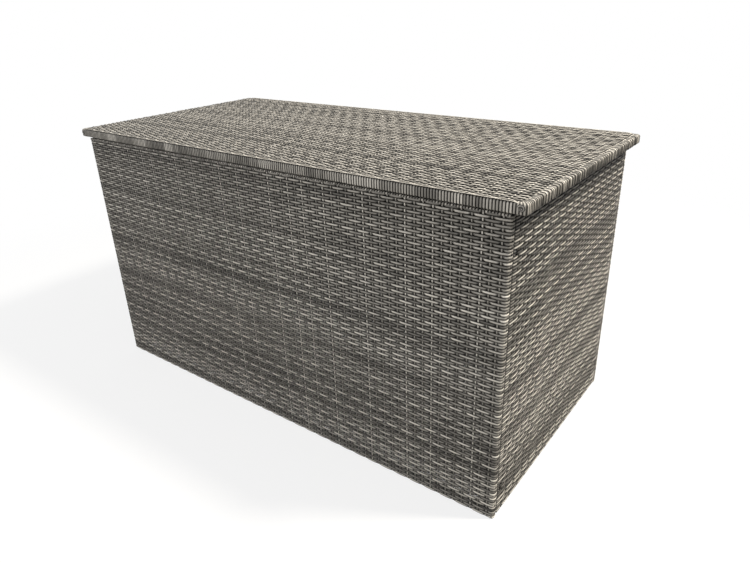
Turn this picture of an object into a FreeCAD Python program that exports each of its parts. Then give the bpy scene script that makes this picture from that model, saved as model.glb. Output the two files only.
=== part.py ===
import FreeCAD, Part
import math
import os
import re

import Sketcher

# A woven storage box for the garden: four woven wall panels bolted together at the corners, a woven floor, and a
# woven lid on three butt hinges, held open by two gas struts.
# X runs along the front, Y from front to back and Z up. The origin is on the ground, in the middle of the box.

# Driving sizes in millimetres
driving_sizes = [
    ("body_width", 1456, "outside of the side walls"),
    ("body_depth", 720, "outside of the front and rear walls"),
    ("body_height", 763, "height of the front and rear walls"),
    ("front_overhang", 5, "lid past the front wall"),
    ("side_overhang", 30, "lid past each side wall"),
    ("rear_setback", 5, "lid short of the rear wall's back"),
    ("lid_gap", 7, "gap between the walls and the lid"),
    ("foot_height", 3, "glide below the posts"),
    ("weave_thickness", 4, "woven skin"),
    ("corner_radius", 8, "woven corner, outside"),
    ("tube_face", 25, "wide side of the frame tube"),
    ("tube_depth", 12, "narrow side of the frame tube"),
    ("tube_wall", 1.5, "wall of every frame tube"),
    ("tube_bevel", 2.5, "broken outer edge of the frame tube"),
    ("seam_gap", 1.5, "gap between neighbouring wall skins"),
    ("side_raise", 4, "side walls start above the front wall's foot"),
    ("upright_offset", 240, "front and rear uprights from the middle"),
    ("floor_clearance", 1, "floor to the wall frames"),
    ("bearer_spacing", 340, "between the middle floor bearers"),
    ("lower_bolt_level", 86, "lower bolts above the ground"),
    ("upper_bolt_drop", 83, "upper bolts below the top of the walls"),
    ("bolt_radius", 3, "bolt shank"),
    ("bolt_head_radius", 5, "button head"),
    ("bolt_head_height", 3, "button head"),
    ("bolt_key_width", 4, "hexagon recess across the flats"),
    ("bolt_key_depth", 1.8, "hexagon recess"),
    ("slit_width", 11, "opening in the weave at a bolt"),
    ("slit_height", 20, "opening in the weave at a bolt"),
    ("hole_clearance", 0.2, "radial, round bolts, screws and stems"),
    ("tab_thickness", 3, "corner tab"),
    ("tab_length", 22, "leg of the tab along the side wall"),
    ("tab_height", 30, "corner tab"),
    ("nut_width", 10, "weld nut across the flats"),
    ("nut_height", 5, "weld nut"),
    ("glide_length", 15, "plug inside the post"),
    ("glide_clearance", 0.2, "plug to the post's wall"),
    ("lid_tube_width", 25, "lid edge tube, level side"),
    ("lid_tube_height", 16, "lid edge tube and cross bar, upright side"),
    ("lid_tube_bevel", 1.2, "broken outer edge of the lid's tubes"),
    ("bar_width", 20, "cross bar of the lid"),
    ("middle_bar_offset", 230, "inner cross bars from the middle"),
    ("bar_clearance", 0.2, "wrapping beside a cross bar"),
    ("wrap_thickness", 2.5, "strand wound round the lid edge"),
    ("wrap_hook", 6, "wrapping over the top of the edge tube"),
    ("wrap_bevel", 3.5, "broken lid edge"),
    ("knot_bevel", 6, "broken lid corner"),
    ("bumper_radius", 6, "rubber buffer"),
    ("bumper_clearance", 0.3, "buffer to the wall under it"),
    ("bumper_inset", 158, "outer rubber buffers from the lid's side edge"),
    ("bumper_stem", 2.5, "radius of the buffer's stem"),
    ("stem_length", 6, "buffer's stem above the lid's underside"),
    ("hinge_inset", 238, "middle of the outer hinges from the lid's side edge"),
    ("hinge_length", 70, "leaf and pin"),
    ("leaf_thickness", 1.6, "hinge leaf"),
    ("box_leaf_depth", 12, "leaf on the box, from the pin"),
    ("lid_leaf_depth", 24, "leaf on the lid, from the pin"),
    ("knuckle_radius", 3.2, "hinge knuckle"),
    ("knuckle_gap", 0.4, "between neighbouring knuckles"),
    ("pin_radius", 1.6, "hinge pin"),
    ("pin_clearance", 0.05, "radial, pin in knuckle"),
    ("pin_head_radius", 2.8, "rivet head of the hinge pin"),
    ("pin_head_height", 1, "rivet head of the hinge pin"),
    ("screw_radius", 1.9, "screw shank"),
    ("screw_head_radius", 3.3, "countersunk head"),
    ("screw_length", 12, "screw"),
    ("screw_spacing", 46, "two screws of a leaf"),
    ("strut_radius", 250, "from the hinge pin to either ball stud"),
    ("upper_stud_drop", 20, "upper ball stud below the hinge pin"),
    ("bracket_clearance", 2.5, "upper bracket to the side wall's frame"),
    ("bracket_thickness", 2.5, "upper bracket"),
    ("bracket_length", 44, "upper bracket along the cross bar"),
    ("bracket_lip", 12, "upper bracket below the ball stud"),
    ("bracket_screw_spacing", 30, "two screws of a bracket"),
    ("stud_reach", 13, "ball centre from the upper bracket"),
    ("ball_radius", 5, "ball stud"),
    ("ball_clearance", 0.1, "radial, ball in socket"),
    ("stud_neck_radius", 3, "ball stud"),
    ("stud_hex_width", 11, "ball stud collar across the flats"),
    ("stud_hex_height", 4, "ball stud collar"),
    ("stud_thread_radius", 3, "ball stud's thread"),
    ("stud_thread_length", 8, "lower ball stud's thread"),
    ("socket_radius", 8, "housing of the ball socket"),
    ("socket_back", 7, "housing behind the ball centre"),
    ("socket_front", 3, "housing in front of the ball centre"),
    ("socket_reach", 20, "ball centre to the strut's shoulder"),
    ("socket_neck_radius", 5.5, "neck of the ball socket"),
    ("thread_radius", 3, "threaded ends of the strut"),
    ("thread_length", 9, "threaded ends of the strut"),
    ("thread_clearance", 0.05, "radial, threaded end in its socket"),
    ("cylinder_radius", 9, "gas strut cylinder, outside"),
    ("cylinder_wall", 1.2, "gas strut cylinder"),
    ("closed_rod", 30, "rod that shows with the lid shut"),
    ("cylinder_base", 5, "closed end of the cylinder"),
    ("guide_length", 15, "rod guide in the cylinder's open end"),
    ("guide_clearance", 0.05, "radial, rod in guide and piston in bore"),
    ("rod_radius", 4, "piston rod"),
    ("piston_length", 8, "piston"),
    ("piston_reserve", 8, "piston off the closed end, lid shut"),
]

# Places worked out from the sizes
derived_places = [
    ("half_width", "body_width / 2"),
    ("lid_front", "-(front_overhang + body_depth) / 2"),
    ("body_front", "lid_front + front_overhang"),
    ("body_rear", "body_front + body_depth"),
    ("lid_rear", "body_rear - rear_setback"),
    ("lid_half", "half_width + side_overhang"),
    ("body_top", "foot_height + body_height"),
    ("panel_thickness", "weave_thickness + tube_depth"),
    ("frame_half", "half_width - weave_thickness"),
    ("inner_half", "half_width - panel_thickness"),
    ("front_inside", "body_front + panel_thickness"),
    ("rear_inside", "body_rear - panel_thickness"),
    ("rail_low", "foot_height + weave_thickness"),
    ("rail_low_top", "rail_low + tube_face"),
    ("frame_top", "body_top - weave_thickness"),
    ("rail_high", "frame_top - tube_face"),
    ("side_low", "foot_height + side_raise"),
    ("side_frame_low", "side_low + weave_thickness"),
    ("side_height", "body_top - side_low"),
    ("side_run", "rear_inside - front_inside"),
    ("side_middle", "(rear_inside + front_inside) / 2"),
    ("upper_bolt_level", "body_top - upper_bolt_drop"),
    ("bolt_inset", "tube_face / 2"),
    ("bolt_length", "tube_depth + tab_thickness + nut_height"),
    ("lid_bottom", "body_top + lid_gap"),
    ("lid_tube_low", "lid_bottom + wrap_thickness"),
    ("lid_tube_top", "lid_tube_low + lid_tube_height"),
    ("edge_width", "lid_tube_width + wrap_thickness"),
    ("edge_height", "wrap_thickness + lid_tube_height + weave_thickness"),
    ("knot_width", "edge_width + wrap_thickness"),
    ("bar_front", "lid_front + edge_width"),
    ("bar_rear", "lid_rear - edge_width"),
    ("hinge_spacing", "lid_half - hinge_inset"),
    ("bumper_spacing", "lid_half - bumper_inset"),
    ("hinge_line", "body_rear - knuckle_radius"),
    ("hinge_level", "body_top + lid_gap / 2"),
    ("box_screw_line", "body_rear - weave_thickness - tube_depth / 2"),
    ("lid_screw_line", "lid_rear - wrap_thickness - lid_tube_width / 2"),
    ("bumper_line", "body_front + panel_thickness / 2"),
    ("bracket_outside", "inner_half - bracket_clearance"),
    ("bracket_inside", "bracket_outside - bracket_thickness"),
    ("ball_line", "bracket_inside - stud_reach"),
    ("lower_stud_reach", "inner_half - ball_line"),
    ("lower_stud_line", "rear_inside - tube_face / 2"),
    ("lower_stud_level", "hinge_level - sqrt(strut_radius ^ 2 - (hinge_line - lower_stud_line) ^ 2)"),
    ("upper_stud_level", "hinge_level - upper_stud_drop"),
    ("upper_stud_line", "hinge_line - sqrt(strut_radius ^ 2 - upper_stud_drop ^ 2)"),
    ("strut_forward", "lower_stud_line - upper_stud_line"),
    ("strut_rise", "upper_stud_level - lower_stud_level"),
    ("strut_length", "sqrt(strut_forward ^ 2 + strut_rise ^ 2)"),
    ("strut_tilt", "atan(strut_forward / strut_rise)"),
    ("cylinder_bore", "cylinder_radius - cylinder_wall"),
    ("cylinder_end", "strut_length - socket_reach - closed_rod"),
    ("piston_level", "socket_reach + cylinder_base + piston_reserve"),
]

document = FreeCAD.newDocument("storage_box")
sizes = document.addObject("Spreadsheet::Sheet", "sizes")
for row, (alias, value, meaning) in enumerate(driving_sizes, start=1):
    sizes.set(f"A{row}", meaning)
    sizes.set(f"B{row}", str(value))
    sizes.setAlias(f"B{row}", alias)
document.recompute()

size_names = {alias for alias, value, meaning in driving_sizes}
place_names = {alias for alias, formula in derived_places}


def formula(text):
    """The same formula with each name led by the sheet that holds it."""

    def lead(match):
        word = match.group(0)
        if word in size_names:
            return "sizes." + word
        if word in place_names:
            return "places." + word
        return word

    return re.sub(r"[a-z_]+", lead, str(text))


places = document.addObject("Spreadsheet::Sheet", "places")
for row, (alias, text) in enumerate(derived_places, start=1):
    places.set(f"A{row}", alias.replace("_", " "))
    places.set(f"B{row}", "=" + formula(text))
    places.setAlias(f"B{row}", alias)
document.recompute()

part_nodes = []


# Drawing helpers


def bind(item, setting, text):
    item.setExpression(setting, formula(text))


def new_body(name):
    body = document.addObject("PartDesign::Body", name)
    body.Label = name
    return body


def origin_plane(body, role):
    return next(feature for feature in body.Origin.OriginFeatures if feature.Role == role)


def new_sketch(body, role, offset=None):
    """A sketch on one of the body's own planes, moved along the plane's normal by offset."""
    sketch = body.newObject("Sketcher::SketchObject", body.Name + "_sketch")
    sketch.AttachmentSupport = [(origin_plane(body, role), "")]
    sketch.MapMode = "FlatFace"
    if offset is not None:
        bind(sketch, "AttachmentOffset.Base.z", offset)
    return sketch


def draw_polygon(sketch, corners):
    """A closed outline of straight lines whose corners are pairs of formulas."""
    first = sketch.GeometryCount
    count = len(corners)
    guesses = [tuple(read(text) for text in corner) for corner in corners]
    for index in range(count):
        start = FreeCAD.Vector(*guesses[index], 0)
        end = FreeCAD.Vector(*guesses[(index + 1) % count], 0)
        sketch.addGeometry(Part.LineSegment(start, end), False)
    for index in range(count):
        sketch.addConstraint(
            Sketcher.Constraint("Coincident", first + index, 2, first + (index + 1) % count, 1)
        )
    for index, corner in enumerate(corners):
        pin_point(sketch, first + index, 1, corner)


def draw_ring(sketch, middle, radius, sides=8, flats=False):
    """A regular outline for small round things. radius goes to its corners, or to its sides if flats is set."""
    reach = f"({radius}) / {math.cos(math.pi / sides):.9f}" if flats else f"({radius})"
    corners = []
    for number in range(sides):
        angle = math.pi * (2 * number + 1) / sides
        across = f"{middle[0]} + {reach} * ({math.cos(angle):.9f})"
        up = f"{middle[1]} + {reach} * ({math.sin(angle):.9f})"
        corners.append((across, up))
    draw_polygon(sketch, corners)


def draw_box(sketch, low, high):
    draw_polygon(sketch, [low, (high[0], low[1]), high, (low[0], high[1])])


def draw_hexagon(sketch, width):
    tip = f"{width} / sqrt(3)"
    half_tip = f"{width} / sqrt(12)"
    side = f"{width} / 2"
    corners = [(tip, "0"), (half_tip, side), (f"-{half_tip}", side)]
    corners += [(f"-{tip}", "0"), (f"-{half_tip}", f"-{side}"), (half_tip, f"-{side}")]
    draw_polygon(sketch, corners)


def pin_point(sketch, index, end, place):
    for kind, text in zip(("DistanceX", "DistanceY"), place):
        number = sketch.addConstraint(Sketcher.Constraint(kind, -1, 1, index, end, read(text)))
        bind(sketch, f"Constraints[{number}]", text)


gauge = document.addObject("App::FeaturePython", "gauge")
gauge.addProperty("App::PropertyFloat", "Reading")


def read(text):
    """The formula's present value."""
    gauge.setExpression("Reading", formula(text))
    gauge.recompute()
    return gauge.Reading


def pad(body, sketch, length, middle=False):
    feature = body.newObject("PartDesign::Pad", body.Name + "_pad")
    feature.Profile = sketch
    bind(feature, "Length", length)
    if middle:
        feature.SideType = "Symmetric"
    document.recompute()
    return feature


def pocket(body, sketch, length=None, backwards=False):
    """Cuts the sketch's outline out of the body, right through if no length is given."""
    before = body.Shape.Volume
    feature = body.newObject("PartDesign::Pocket", body.Name + "_pocket")
    feature.Profile = sketch
    feature.Reversed = backwards
    if length is None:
        feature.Type = "ThroughAll"
        feature.SideType = "Symmetric"
    else:
        bind(feature, "Length", length)
    document.recompute()
    if not body.Shape.Volume < before:
        raise RuntimeError("pocket cuts nothing in " + body.Name)
    return feature


def turn(body, sketch, axis):
    """A solid of revolution about one of the sketch's own axes."""
    feature = body.newObject("PartDesign::Revolution", body.Name + "_turned")
    feature.Profile = sketch
    feature.ReferenceAxis = (sketch, [axis])
    feature.Angle = 360
    document.recompute()
    return feature


def stack(body, role, rings, kind="Additive", middle=("0", "0"), sides=8):
    """Adds or cuts a round form of flat facets through rings, which are pairs of a height and a radius."""
    outlines = []
    for height, radius in rings:
        outline = new_sketch(body, role, height)
        draw_ring(outline, middle, radius, sides)
        outlines.append(outline)
    feature = body.newObject(f"PartDesign::{kind}Loft", body.Name + "_stack")
    feature.Profile = outlines[0]
    feature.Sections = outlines[1:]
    feature.Ruled = True
    document.recompute()
    return feature


def round_edges(body, feature, radius, wanted, kind="Fillet", setting="Radius"):
    """Fillets the edges of the feature that wanted accepts, given each edge's two ends."""
    names = []
    for number, edge in enumerate(feature.Shape.Edges, start=1):
        ends = [vertex.Point for vertex in edge.Vertexes]
        if len(ends) == 2 and wanted(ends[0], ends[1]):
            names.append(f"Edge{number}")
    finish = body.newObject("PartDesign::" + kind, body.Name + "_edges")
    finish.Base = (feature, names)
    bind(finish, setting, radius)
    document.recompute()
    return finish


def break_edges(body, feature, width, wanted):
    """Chamfers the edges of the feature that wanted accepts."""
    return round_edges(body, feature, width, wanted, "Chamfer", "Size")


def along(axis):
    """Accepts an edge that runs along the given axis."""

    def wanted(start, end):
        run = [abs(end[number] - start[number]) for number in range(3)]
        return all(run[number] < 1e-6 for number in range(3) if number != axis)

    return wanted


def place(item, where):
    for letter, text in zip("xyz", where):
        bind(item, "Placement.Base." + letter, text)


def half_turn(item, axis):
    item.Placement = FreeCAD.Placement(item.Placement.Base, FreeCAD.Rotation(FreeCAD.Vector(*axis), 180))


def node(item):
    part_nodes.append(item)
    return item


def group(name, master, spots):
    """One node of separate equal pieces: each spot is a place and an axis to turn it half round, or None."""
    copies = []
    for number, (where, axis) in enumerate(spots, start=1):
        copy = document.addObject("App::Link", f"{name}_{number}")
        copy.LinkedObject = master
        if axis is not None:
            half_turn(copy, axis)
        place(copy, where)
        copies.append(copy)
    together = document.addObject("Part::Compound", name)
    together.Label = name
    together.Links = copies
    document.recompute()
    return node(together)


# Frame tubes

planes = {"x": "YZ_Plane", "y": "XZ_Plane", "z": "XY_Plane"}


def make_tube(name, axis, size, length, where, bevel="tube_bevel"):
    """A square-cut tube along an axis. size is its width and height across, and where is its middle."""
    body = new_body(name)
    half = [f"({text}) / 2" for text in size]
    outside = new_sketch(body, planes[axis])
    draw_box(outside, [f"-{text}" for text in half], half)
    solid = pad(body, outside, length, middle=True)
    body.Tip = break_edges(body, solid, bevel, along("xyz".index(axis)))
    inside = new_sketch(body, planes[axis])
    bore = [f"({text}) / 2 - tube_wall" for text in size]
    draw_box(inside, [f"-({text})" for text in bore], bore)
    pocket(body, inside)
    place(body, where)
    return body


def make_frame_tube(name, axis, flat, length, where):
    """A wall frame's tube, with its narrow side along the axis named flat."""
    across = [letter for letter in "xyz" if letter != axis]
    size = ["tube_depth" if letter == flat else "tube_face" for letter in across]
    return make_tube(name, axis, size, length, where)


def drill_for_hinges(body, line, level, depth):
    """Holes for the hinge screws, from the given level down by depth, or up if depth has a minus sign."""
    spots = []
    for number in (-1, 0, 1):
        spots += [f"{number} * hinge_spacing + {half} * screw_spacing / 2" for half in (-1, 1)]
    drill(body, spots, line, level, depth, "screw_radius + hole_clearance")


def drill_for_bumpers(body, line, level, depth):
    """Holes for the buffers' stems, from the given level up by depth."""
    spots = [f"{number} * bumper_spacing" for number in (-1, 0, 1)]
    drill(body, spots, line, level, "-" + depth, "bumper_stem + hole_clearance")


def drill(body, spots, line, level, depth, radius):
    holes = new_sketch(body, "XY_Plane", level)
    for spot in spots:
        draw_ring(holes, (spot, line), radius)
    pocket(body, holes, depth.lstrip("-"), backwards=depth.startswith("-"))


side_signs = (("left", "-"), ("right", ""))
end_signs = (("front", "-"), ("rear", ""))
post_height = "frame_top - foot_height"
post_middle = "(frame_top + foot_height) / 2"
end_frame_line = {
    "front": "body_front + weave_thickness + tube_depth / 2",
    "rear": "body_rear - weave_thickness - tube_depth / 2",
}
rail_length = "2 * (frame_half - tube_face)"
for end, _ in end_signs:
    line = end_frame_line[end]
    for side, sign in side_signs:
        post_line = f"{sign}(frame_half - tube_face / 2)"
        node(make_frame_tube(f"{end}_{side}_post", "z", "y", post_height, (post_line, line, post_middle)))
    node(make_frame_tube(f"{end}_bottom_rail", "x", "y", rail_length, ("0", line, "rail_low + tube_face / 2")))
    top_rail = make_frame_tube(f"{end}_top_rail", "x", "y", rail_length, ("0", line, "rail_high + tube_face / 2"))
    if end == "rear":
        drill_for_hinges(top_rail, "0", "tube_face / 2", "tube_wall")
    node(top_rail)

upright_length = "rail_high - rail_low_top"
upright_middle = "(rail_high + rail_low_top) / 2"
end_upright = make_frame_tube("end_upright", "z", "y", upright_length, ("0", "0", "0"))
for end, _ in end_signs:
    line = end_frame_line[end]
    spots = [((f"{sign}upright_offset", line, upright_middle), None) for side, sign in side_signs]
    group(f"{end}_uprights", end_upright, spots)

stile_length = "frame_top - side_frame_low"
stile_middle = "(frame_top + side_frame_low) / 2"
stile_lines = {"front": "front_inside + tube_face / 2", "rear": "rear_inside - tube_face / 2"}
side_rail_length = "side_run - 2 * tube_face"
for side, sign in side_signs:
    line = f"{sign}(frame_half - tube_depth / 2)"
    for end, _ in end_signs:
        where = (line, stile_lines[end], stile_middle)
        stile = make_frame_tube(f"{side}_{end}_stile", "z", "x", stile_length, where)
        holes = new_sketch(stile, "YZ_Plane")
        for level in ("lower_bolt_level", "upper_bolt_level"):
            draw_ring(holes, ("0", f"{level} - ({stile_middle})"), "bolt_radius + hole_clearance")
        pocket(stile, holes)
        if end == "rear":
            seat = new_sketch(stile, "YZ_Plane")
            draw_ring(seat, ("0", f"lower_stud_level - ({stile_middle})"), "stud_thread_radius + hole_clearance")
            pocket(stile, seat, "tube_depth / 2", backwards=(side == "left"))
        node(stile)
    for level, height in (("bottom", "side_frame_low + tube_face / 2"), ("top", "rail_high + tube_face / 2")):
        where = (line, "side_middle", height)
        node(make_frame_tube(f"{side}_{level}_rail", "y", "x", side_rail_length, where))

side_upright_length = "rail_high - side_frame_low - tube_face"
side_upright = make_frame_tube("side_upright", "z", "x", side_upright_length, ("0", "0", "0"))
side_upright_middle = "(rail_high + side_frame_low + tube_face) / 2"
side_upright_spots = [
    ((f"{sign}(frame_half - tube_depth / 2)", "side_middle", side_upright_middle), None)
    for side, sign in side_signs
]
group("side_uprights", side_upright, side_upright_spots)


# Woven skins of the walls


def make_end_weave(name, turned):
    """The skin of the front or rear wall: it folds over the top rail, under the bottom rail and round both posts."""
    body = new_body(name)
    outline = new_sketch(body, "XY_Plane")
    draw_box(outline, ("-half_width", "0"), ("half_width", "panel_thickness"))
    block = pad(body, outline, "body_height")

    def outer_corner(start, end):
        return along(2)(start, end) and start.y < 1

    body.Tip = round_edges(body, block, "corner_radius", outer_corner)
    post_edge = "frame_half - tube_face"
    hollow_top = "body_height - weave_thickness"
    hollow = new_sketch(body, "XZ_Plane")
    draw_polygon(
        hollow,
        [
            ("-frame_half", "-weave_thickness"),
            (f"-({post_edge})", "-weave_thickness"),
            (f"-({post_edge})", "weave_thickness"),
            (post_edge, "weave_thickness"),
            (post_edge, "-weave_thickness"),
            ("frame_half", "-weave_thickness"),
            ("frame_half", hollow_top),
            ("-frame_half", hollow_top),
        ],
    )
    bind(hollow, "AttachmentOffset.Base.z", "-panel_thickness")
    pocket(body, hollow, "tube_depth", backwards=True)
    if turned:
        half_turn(body, (0, 0, 1))
    return body


front_weave = node(make_end_weave("front_weave", turned=False))
place(front_weave, ("0", "body_front", "foot_height"))
rear_weave = make_end_weave("rear_weave", turned=True)
drill_for_hinges(rear_weave, "weave_thickness + tube_depth / 2", "body_height", "weave_thickness")
place(node(rear_weave), ("0", "body_rear", "foot_height"))


def make_side_weave(name, turned):
    """The skin of a side wall, with an opening in front of each bolt."""
    body = new_body(name)
    outline = new_sketch(body, "XZ_Plane")
    draw_box(outline, ("0", "0"), ("panel_thickness", "side_height"))
    pad(body, outline, "side_run - 2 * seam_gap", middle=True)
    hollow = new_sketch(body, "XZ_Plane")
    draw_box(hollow, ("-weave_thickness", "weave_thickness"), ("tube_depth", "side_height - weave_thickness"))
    pocket(body, hollow)
    slits = new_sketch(body, "YZ_Plane")
    for level in ("lower_bolt_level", "upper_bolt_level"):
        for sign in ("-", ""):
            middle = f"{sign}(side_run / 2 - bolt_inset)"
            low = (f"{middle} - slit_width / 2", f"{level} - side_low - slit_height / 2")
            high = (f"{middle} + slit_width / 2", f"{level} - side_low + slit_height / 2")
            draw_box(slits, low, high)
    pocket(body, slits)
    if turned:
        half_turn(body, (0, 0, 1))
    return body


left_weave = node(make_side_weave("left_weave", turned=True))
place(left_weave, ("-inner_half", "side_middle", "side_low"))
right_weave = node(make_side_weave("right_weave", turned=False))
place(right_weave, ("inner_half", "side_middle", "side_low"))


# Floor

floor_half = "inner_half - floor_clearance"
floor = new_body("floor_weave")
floor_outline = new_sketch(floor, "XY_Plane")
floor_low = (f"-({floor_half})", "front_inside + floor_clearance")
floor_high = (floor_half, "rear_inside - floor_clearance")
draw_box(floor_outline, floor_low, floor_high)
pad(floor, floor_outline, "weave_thickness")
place(node(floor), ("0", "0", "rail_low_top"))

bearer = make_tube("floor_bearer", "y", ("tube_face", "tube_depth"), "side_run", ("0", "0", "0"))
bearer_lines = ["-bearer_spacing", "0", "bearer_spacing"]
bearer_lines += [f"-({floor_half} - tube_face / 2)", f"{floor_half} - tube_face / 2"]
bearer_spots = [((line, "side_middle", "rail_low_top - tube_depth / 2"), None) for line in bearer_lines]
group("floor_bearers", bearer, bearer_spots)


# Corner tabs with their weld nuts, bolts and glides

tab = new_body("corner_tab")
tab_outline = new_sketch(tab, "XY_Plane")
foot_width = "tube_face - tube_depth"
draw_polygon(
    tab_outline,
    [
        ("0", "0"),
        ("0", "tab_length"),
        ("-tab_thickness", "tab_length"),
        ("-tab_thickness", "tab_thickness"),
        (f"-({foot_width})", "tab_thickness"),
        (f"-({foot_width})", "0"),
    ],
)
pad(tab, tab_outline, "tab_height", middle=True)
nut_outline = new_sketch(tab, "YZ_Plane", "-tab_thickness - nut_height")
draw_hexagon(nut_outline, "nut_width")
bind(nut_outline, "AttachmentOffset.Base.x", "bolt_inset")
pad(tab, nut_outline, "nut_height")
tab_hole = new_sketch(tab, "YZ_Plane")
draw_ring(tab_hole, ("bolt_inset", "0"), "bolt_radius + hole_clearance")
pocket(tab, tab_hole)

bolt = new_body("panel_bolt")
bolt_head = [("0", "bolt_head_radius"), ("bolt_head_height / 2", "bolt_head_radius")]
stack(bolt, "YZ_Plane", bolt_head + [("bolt_head_height", "bolt_head_radius - bolt_head_height / 2")])
bolt_shank = new_sketch(bolt, "YZ_Plane", "-bolt_length")
draw_ring(bolt_shank, ("0", "0"), "bolt_radius")
pad(bolt, bolt_shank, "bolt_length")
bolt_key = new_sketch(bolt, "YZ_Plane", "bolt_head_height")
draw_hexagon(bolt_key, "bolt_key_width")
pocket(bolt, bolt_key, "bolt_key_depth")

tab_spots = []
bolt_spots = []
tab_turns = {
    ("front", "right"): None,
    ("front", "left"): (0, 1, 0),
    ("rear", "right"): (1, 0, 0),
    ("rear", "left"): (0, 0, 1),
}
for level in ("lower_bolt_level", "upper_bolt_level"):
    for end, _ in end_signs:
        inside = f"{end}_inside"
        for side, sign in side_signs:
            tab_spots.append(((f"{sign}inner_half", inside, level), tab_turns[end, side]))
            bolt_turn = (0, 0, 1) if side == "left" else None
            bolt_spots.append(((f"{sign}frame_half", stile_lines[end], level), bolt_turn))
group("corner_tabs", tab, tab_spots)
group("panel_bolts", bolt, bolt_spots)

glide = new_body("foot_glide")
glide_foot = new_sketch(glide, "XY_Plane")
draw_box(glide_foot, ("-tube_face / 2", "-tube_depth / 2"), ("tube_face / 2", "tube_depth / 2"))
glide_block = pad(glide, glide_foot, "foot_height")
glide.Tip = break_edges(glide, glide_block, "tube_bevel", along(2))
glide_plug = new_sketch(glide, "XY_Plane")
plug_half = [f"{text} / 2 - tube_wall - glide_clearance" for text in ("tube_face", "tube_depth")]
draw_box(glide_plug, [f"-({text})" for text in plug_half], plug_half)
pad(glide, glide_plug, "foot_height + glide_length")
glide_spots = []
for end, _ in end_signs:
    for side, sign in side_signs:
        glide_spots.append(((f"{sign}(frame_half - tube_face / 2)", end_frame_line[end], "0"), None))
group("foot_glides", glide, glide_spots)


# Lid frame

lid_tube = ("lid_tube_width", "lid_tube_height")
lid_tube_middle = "lid_tube_low + lid_tube_height / 2"
long_rail_length = "2 * (lid_half - wrap_hook)"
lid_rail_lines = {
    "front": "(lid_front + wrap_thickness + lid_tube_width / 2)",
    "rear": "(lid_rear - wrap_thickness - lid_tube_width / 2)",
}
for end, _ in end_signs:
    where = ("0", lid_rail_lines[end], lid_tube_middle)
    rail = make_tube(f"lid_{end}_rail", "x", lid_tube, long_rail_length, where, "lid_tube_bevel")
    if end == "front":
        drill_for_bumpers(rail, f"bumper_line - {lid_rail_lines[end]}", "-lid_tube_height / 2", "tube_wall")
    else:
        drill_for_hinges(rail, "0", "-lid_tube_height / 2", "-tube_wall")
    node(rail)
side_rail_middle = "(bar_front + bar_rear) / 2"
for side, sign in side_signs:
    line = f"{sign}(lid_half - wrap_thickness - lid_tube_width / 2)"
    where = (line, side_rail_middle, lid_tube_middle)
    node(make_tube(f"lid_{side}_rail", "y", lid_tube, "bar_rear - bar_front", where, "lid_tube_bevel"))

cross_bar = make_tube(
    "lid_cross_bar", "y", ("bar_width", "lid_tube_height"), "bar_rear - bar_front", ("0", "0", "0"), "lid_tube_bevel"
)
bar_holes = new_sketch(cross_bar, "XY_Plane")
for half in (-1, 1):
    spot = f"upper_stud_line - {side_rail_middle} + {half} * bracket_screw_spacing / 2"
    draw_ring(bar_holes, ("0", spot), "screw_radius + hole_clearance")
pocket(cross_bar, bar_holes, "lid_tube_height / 2")
bar_lines = ["-ball_line", "-middle_bar_offset", "middle_bar_offset", "ball_line"]
group("lid_cross_bars", cross_bar, [((line, side_rail_middle, lid_tube_middle), None) for line in bar_lines])

lid_weave = new_body("lid_weave")
lid_outline = new_sketch(lid_weave, "XY_Plane")
lid_low = ("-(lid_half - wrap_hook)", "lid_front + wrap_hook")
lid_high = ("lid_half - wrap_hook", "lid_rear - wrap_hook")
draw_box(lid_outline, lid_low, lid_high)
pad(lid_weave, lid_outline, "weave_thickness")
place(node(lid_weave), ("0", "0", "lid_tube_top"))


# Wrapped edge of the lid


def make_wrap(name, axis, length):
    """Strand wound round an edge tube: a channel under and beside the tube, hooked over its outer top edge."""
    body = new_body(name)
    section = new_sketch(body, planes[axis])
    inner_wall = "edge_width"
    outer_wall = "knot_width"
    tube_top = "wrap_thickness + lid_tube_height"
    draw_polygon(
        section,
        [
            ("0", "0"),
            (outer_wall, "0"),
            (outer_wall, tube_top),
            (inner_wall, tube_top),
            (inner_wall, "wrap_thickness"),
            ("wrap_thickness", "wrap_thickness"),
            ("wrap_thickness", tube_top),
            ("wrap_hook", tube_top),
            ("wrap_hook", "edge_height"),
            ("0", "edge_height"),
        ],
    )
    block = pad(body, section, length, middle=True)
    across = 1 if axis == "x" else 0
    high = read("edge_height")

    def outer_edge(start, end):
        level = start.z
        return abs(start[across]) < 1e-6 and abs(end[across]) < 1e-6 and along("xyz".index(axis))(start, end) and (
            level < 1e-6 or abs(level - high) < 1e-6
        )

    body.Tip = break_edges(body, block, "wrap_bevel", outer_edge)
    return body


long_wrap = "2 * (lid_half - knot_width)"
notch_lines = bar_lines
for end, _ in end_signs:
    wrap = make_wrap(f"lid_{end}_wrap", "x", long_wrap)
    notches = new_sketch(wrap, "XZ_Plane", "-knot_width")
    for line in notch_lines:
        low = (f"{line} - bar_width / 2 - bar_clearance", "wrap_thickness")
        high = (f"{line} + bar_width / 2 + bar_clearance", "edge_height")
        draw_box(notches, low, high)
    pocket(wrap, notches, "wrap_thickness", backwards=True)
    if end == "front":
        drill_for_bumpers(wrap, "bumper_line - lid_front", "0", "wrap_thickness")
    else:
        drill_for_hinges(wrap, "wrap_thickness + lid_tube_width / 2", "0", "-wrap_thickness")
        half_turn(wrap, (0, 0, 1))
    place(node(wrap), ("0", f"lid_{end}", "lid_bottom"))

side_wrap = make_wrap("lid_side_wrap", "y", "lid_rear - lid_front - 2 * knot_width")
side_wrap_spots = [
    (("-lid_half", side_rail_middle, "lid_bottom"), None),
    (("lid_half", side_rail_middle, "lid_bottom"), (0, 0, 1)),
]
group("lid_side_wraps", side_wrap, side_wrap_spots)


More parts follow.
